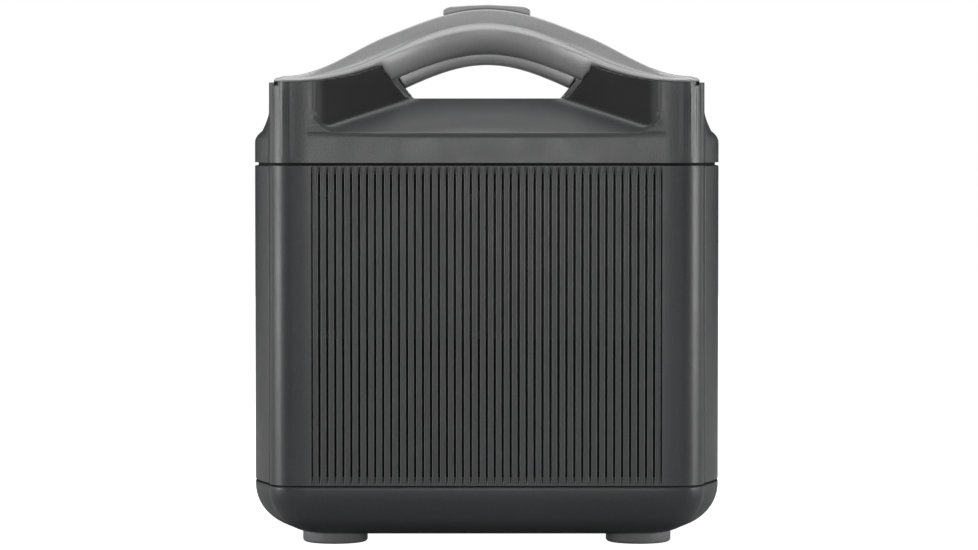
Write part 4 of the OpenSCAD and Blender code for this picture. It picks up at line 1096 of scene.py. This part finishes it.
socket_plastic = plastic("socket_plastic", (0.014, 0.014, 0.015), 0.42, 1000, 0.03)
jacks = []
for at in jack_at:
    mouth = side_x + 0.6
    jack = side_rod("jack_sockets", 1, mouth - 14, mouth, at, 6)
    carve(jack, side_rod("ring", 1, mouth - 0.5, mouth + 0.2, at, 7.2), "UNION")
    carve(jack, side_rod("bore", 1, mouth - 12, mouth + 2, at, 2.75, 40))
    ease_edges(jack, 0.15 * mm, 2)
    pin = side_rod("pin", 1, mouth - 12.5, mouth - 2, at, 1.05, 24)
    ease_edges(pin, 0.3 * mm, 2)
    jacks.append(join([jack, pin]))
jack_sockets = join(jacks)
fit(jack_sockets, socket_plastic, "socket_plastic", "housing", "dc_jacks")

mouth = side_x + 1
car_socket = side_rod("car_socket_barrel", 1, mouth - 45, mouth - 0.9, car_at, 14, 96)
carve(car_socket, side_rod("flange", 1, mouth - 0.95, mouth + 1.2, car_at, 17, 96), "UNION")
carve(car_socket, side_rod("bore", 1, mouth - 42, mouth + 2, car_at, 10.5, 96))
ease_edges(car_socket, 0.25 * mm, 2)
fit(car_socket, socket_plastic, "socket_plastic", "housing", "car_socket")

cover_rubber = plastic("cover_rubber", (0.022, 0.022, 0.023), 0.62, 700, 0.05, 0.5, specular=0.3)
car_hinge = (side_x + 3.7, car_at[1] + 20.5)


def hinge_bar(name, side, x, y, z, radius, reach):
    """A round bar along Y."""
    return rod(name, (side * x * mm, (y - reach) * mm, z * mm), (side * x * mm, (y + reach) * mm, z * mm),
               radius * mm, 40)


cap_x = side_x + 2.5
car_cap = side_rod("car_socket_lid", 1, cap_x, cap_x + 2.6, car_at, 16.5, 96)
select(car_cap, "FACE", lambda c, f: f.normal.x > 0.9)
bpy.ops.mesh.inset(thickness=2.2 * mm, depth=0)
bpy.ops.mesh.inset(thickness=0.6 * mm, depth=-0.5 * mm)
done()
carve(car_cap, side_box("tab", 1, cap_x, cap_x + 2.6, (car_at[0], car_at[1] + 15.5), (10, 7)), "UNION")
carve(car_cap, hinge_bar("barrel", 1, car_hinge[0], car_at[0], car_hinge[1], 2.2, 5), "UNION")
carve(car_cap, side_rod("grip", 1, cap_x, cap_x + 4.4, (car_at[0], car_at[1] - 13.5), 1.8, 32), "UNION")
carve(car_cap, hinge_bar("bore", 1, car_hinge[0], car_at[0], car_hinge[1], 1.05, 6))
ease_edges(car_cap, 0.25 * mm, 2, 50)
fit(car_cap, cover_rubber, "cover_rubber", "car_socket_cap", "car_socket_cap")

# ---- Mains outlets ----
# Four earthed outlets, moulded in one piece each: a face with rounded corners, two blade
# slots of unlike width and a round earth hole, in a body that drops behind the panel.

outlet_plastic = plastic("outlet_plastic", (0.028, 0.028, 0.030), 0.4, 1000, 0.025, 0.3)


def outlet(name, at):
    face = side_pill(name, -1, side_x - 1.3, side_x + 1.2, at, outlet_size, 3.5, 8)
    select(face, "FACE", lambda c, f: f.normal.x < -0.9)
    bpy.ops.mesh.inset(thickness=2.4 * mm, depth=0)
    bpy.ops.mesh.inset(thickness=0.6 * mm, depth=-0.6 * mm)
    done()
    ease_edges(face, 0.3 * mm, 3, 60)
    carve(face, side_box("body", -1, side_x - 16, side_x - 1.2, at, grown(outlet_size, -8)), "UNION")
    carve(face, join([side_box("slot", -1, side_x - 12, side_x + 3, (at[0] - 6.35, at[1] + 5), (1.9, 7.4)),
                      side_box("slot", -1, side_x - 12, side_x + 3, (at[0] + 6.35, at[1] + 5), (2.2, 8.6)),
                      side_rod("earth", -1, side_x - 12, side_x + 3, (at[0], at[1] - 7), 2.6, 40)]))
    smooth(face, 30)
    return face


for number, at in enumerate(outlet_at, 1):
    fit(outlet("mains_outlet_%d" % number, at), outlet_plastic, "outlet_plastic", "housing", "ac_outlet_%d" % number)

# ---- Inlets and their covers ----
# Deep moulded shrouds with contact blades or pins, each closed by a rubber cover that
# swings up on a steel pin between two lugs.


def shroud(name, at, size, depth, rim, contacts):
    """An inlet's shroud, hollowed from its mouth, with its contacts."""
    mouth = side_x + 0.4
    case = side_box(name, -1, side_x - depth, mouth, at, size)
    select(case, "FACE", lambda c, f: f.normal.x < -0.9)
    bpy.ops.mesh.inset(thickness=rim * mm, depth=0)
    bpy.ops.mesh.extrude_region_move(TRANSFORM_OT_translate={"value": ((depth - 2.6) * mm, 0, 0)})
    done()
    ease_edges(case, 0.25 * mm, 2)
    return join([case] + contacts)


ac_inlet = shroud("ac_inlet_shroud", inlet_at, inlet_size, 22, 2.5,
                  [side_box("blade", -1, side_x - 20, side_x - 6, (inlet_at[0] + y, inlet_at[1] + z), (2, 4))
                   for y, z in ((-7, -2), (7, -2), (0, 2))])
solar_inlet = shroud("solar_inlet_shroud", solar_at, solar_size, 20, 2,
                     [side_rod("pin", -1, side_x - 18, side_x - 6, (solar_at[0] + y, solar_at[1]), 2.2, 32)
                      for y in (-4.5, 4.5)])
fit(ac_inlet, socket_plastic, "socket_plastic", "housing", "ac_inlet")
fit(solar_inlet, socket_plastic, "socket_plastic", "housing", "solar_inlet")


def inlet_cover(name, at, size, node):
    """A cover with a thickened middle, a finger lip below and a hinge barrel above."""
    x0, top = side_x + 0.7, at[1] + size[1] / 2 + 6
    cover = side_pill(name, -1, x0, x0 + 2.2, at, grown(size, 6), 3, 8)
    select(cover, "FACE", lambda c, f: f.normal.x < -0.9)
    bpy.ops.mesh.inset(thickness=2.4 * mm, depth=0)
    bpy.ops.mesh.inset(thickness=0.5 * mm, depth=-0.45 * mm)
    done()
    carve(cover, side_box("tab", -1, x0, x0 + 2.2, (at[0], at[1] + size[1] / 2 + 4), (12, 4)), "UNION")
    carve(cover, hinge_bar("barrel", -1, side_x + 2.2, at[0], top, 1.8, 6), "UNION")
    carve(cover, side_pill("lip", -1, x0, x0 + 3.4, (at[0], at[1] - size[1] / 2 - 1), (10, 2), 0.9, 4), "UNION")
    carve(cover, hinge_bar("bore", -1, side_x + 2.2, at[0], top, 1.05, 7))
    ease_edges(cover, 0.2 * mm, 2, 50)
    fit(cover, cover_rubber, "cover_rubber", node, node)


inlet_cover("ac_inlet_flap", inlet_at, inlet_size, "ac_inlet_cover")
inlet_cover("solar_inlet_flap", solar_at, solar_size, "solar_inlet_cover")

# ---- Charge-rate switch and breaker ----
# A ribbed orange slider in a slot, and a red reset button in a threaded black collar.

switch_orange = plastic("switch_orange", (0.55, 0.19, 0.02), 0.42, 1100, 0.02, 0.3)
switch_face = side_x + 1.2
slider = side_box("rate_slider", -1, side_x - 4, switch_face, (rate_switch_at[0] - 3, rate_switch_at[1]), (5, 4))
for y in (-4.2, -3, -1.8):
    carve(slider, side_box("groove", -1, switch_face - 0.5, switch_face + 1,
                           (rate_switch_at[0] + y, rate_switch_at[1]), (0.5, 6)))
ease_edges(slider, 0.12 * mm, 2)
slider = join([slider, side_box("plate", -1, side_x - 5.5, side_x - 3.99, rate_switch_at, (18, 8))])
fit(slider, switch_orange, "switch_orange", "rate_switch", "rate_switch")

collar = side_rod("breaker_collar", -1, side_x - 20, side_x + 0.2, breaker_at, 8)
carve(collar, side_rod("rim", -1, side_x + 0.1, side_x + 1.4, breaker_at, 9.5, 72), "UNION")
carve(collar, side_rod("bore", -1, side_x - 14, side_x + 2, breaker_at, 6.3))
ease_edges(collar, 0.3 * mm, 3)
fit(collar, socket_plastic, "socket_plastic", "housing", "breaker_housing")

breaker_red = plastic("breaker_red", (0.42, 0.022, 0.015), 0.3, 900, 0.01, 0.2, coat=0.4)
reset = side_rod("breaker_reset", -1, side_x - 10, side_x + 3.4, breaker_at, 6, 72)
select(reset, "FACE", lambda c, f: f.normal.x < -0.9)
bpy.ops.mesh.inset(thickness=1.4 * mm, depth=0)
bpy.ops.mesh.inset(thickness=0.5 * mm, depth=-0.3 * mm)
done()
ease_edges(reset, 0.4 * mm, 3, 60)
fit(reset, breaker_red, "breaker_red", "breaker_button", "breaker_button")

# ---- Screws, pins and fans ----
# Plated screws hold the handles, the feet and the two fans. The fans sit behind the ribs of
# the near end, with a sheet of open black foam between them and the grooves.


def dress(material, *nodes):
    """Gives CAD nodes whose shape is right their material."""
    for node in nodes:
        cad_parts[node].data.materials.clear()
        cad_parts[node].data.materials.append(material)


dress(metal("screw_zinc", (0.46, 0.46, 0.47), 0.3), "handle_screws", "foot_screws")
dress(metal("screw_black", (0.03, 0.03, 0.03), 0.4), "fan_screws")
dress(metal("pin_steel", (0.20, 0.20, 0.205), 0.35), "hinge_pins")
fan_plastic = plastic("fan_plastic", (0.016, 0.016, 0.018), 0.4, 800, 0.03)
dress(fan_plastic, "fan_frame_1", "fan_frame_2", "fan_rotor_1", "fan_rotor_2")
dress(plastic("screen_foam", (0.03, 0.03, 0.03), 0.95, 420, 0.3, 0, specular=0.1), "vent_screens")

# ---- Battery and boards ----
# Ninety-eight sleeved cells stand between two moulded holders, joined by nickel strips. Above
# them a folded aluminium shelf carries the inverter and the charger.

dress(plastic("cell_holder_plastic", (0.04, 0.11, 0.24), 0.45, 900, 0.03), "cell_tray", "cell_cover")
dress(plastic("cell_sleeve", (0.05, 0.27, 0.12), 0.3, 250, 0.015, 0, coat=0.3), "battery_cells")
dress(metal("strip_nickel", (0.60, 0.58, 0.53), 0.25), "bus_bars")
dress(metal("sheet_aluminium", (0.62, 0.63, 0.65), 0.35, 0.02), "chassis", "heat_sinks")
dress(metal("winding_copper", (0.62, 0.25, 0.08), 0.3, 0.15), "transformers")
dress(plastic("capacitor_sleeve", (0.02, 0.025, 0.04), 0.3, 300, 0.01, 0, coat=0.3), "capacitors")
dress(plastic("display_case", (0.08, 0.11, 0.10), 0.5), "display_module")

board = plastic("circuit_board", (0.012, 0.11, 0.04), 0.32, 700, 0.02, 0, coat=0.3)
tracks = board.node_tree.nodes.new("ShaderNodeTexBrick")
tracks.inputs["Scale"].default_value = 120
tracks.inputs["Color1"].default_value = (0.010, 0.10, 0.036, 1)
tracks.inputs["Color2"].default_value = (0.016, 0.14, 0.05, 1)
tracks.inputs["Mortar"].default_value = (0.03, 0.22, 0.09, 1)
tracks.inputs["Mortar Size"].default_value = 0.06
board.node_tree.links.new(board.node_tree.nodes.new("ShaderNodeTexCoord").outputs["Object"], tracks.inputs["Vector"])
board.node_tree.links.new(tracks.outputs["Color"], board.node_tree.nodes["Principled BSDF"].inputs["Base Color"])
dress(board, "port_board", "battery_board", "inverter_board", "charger_board")
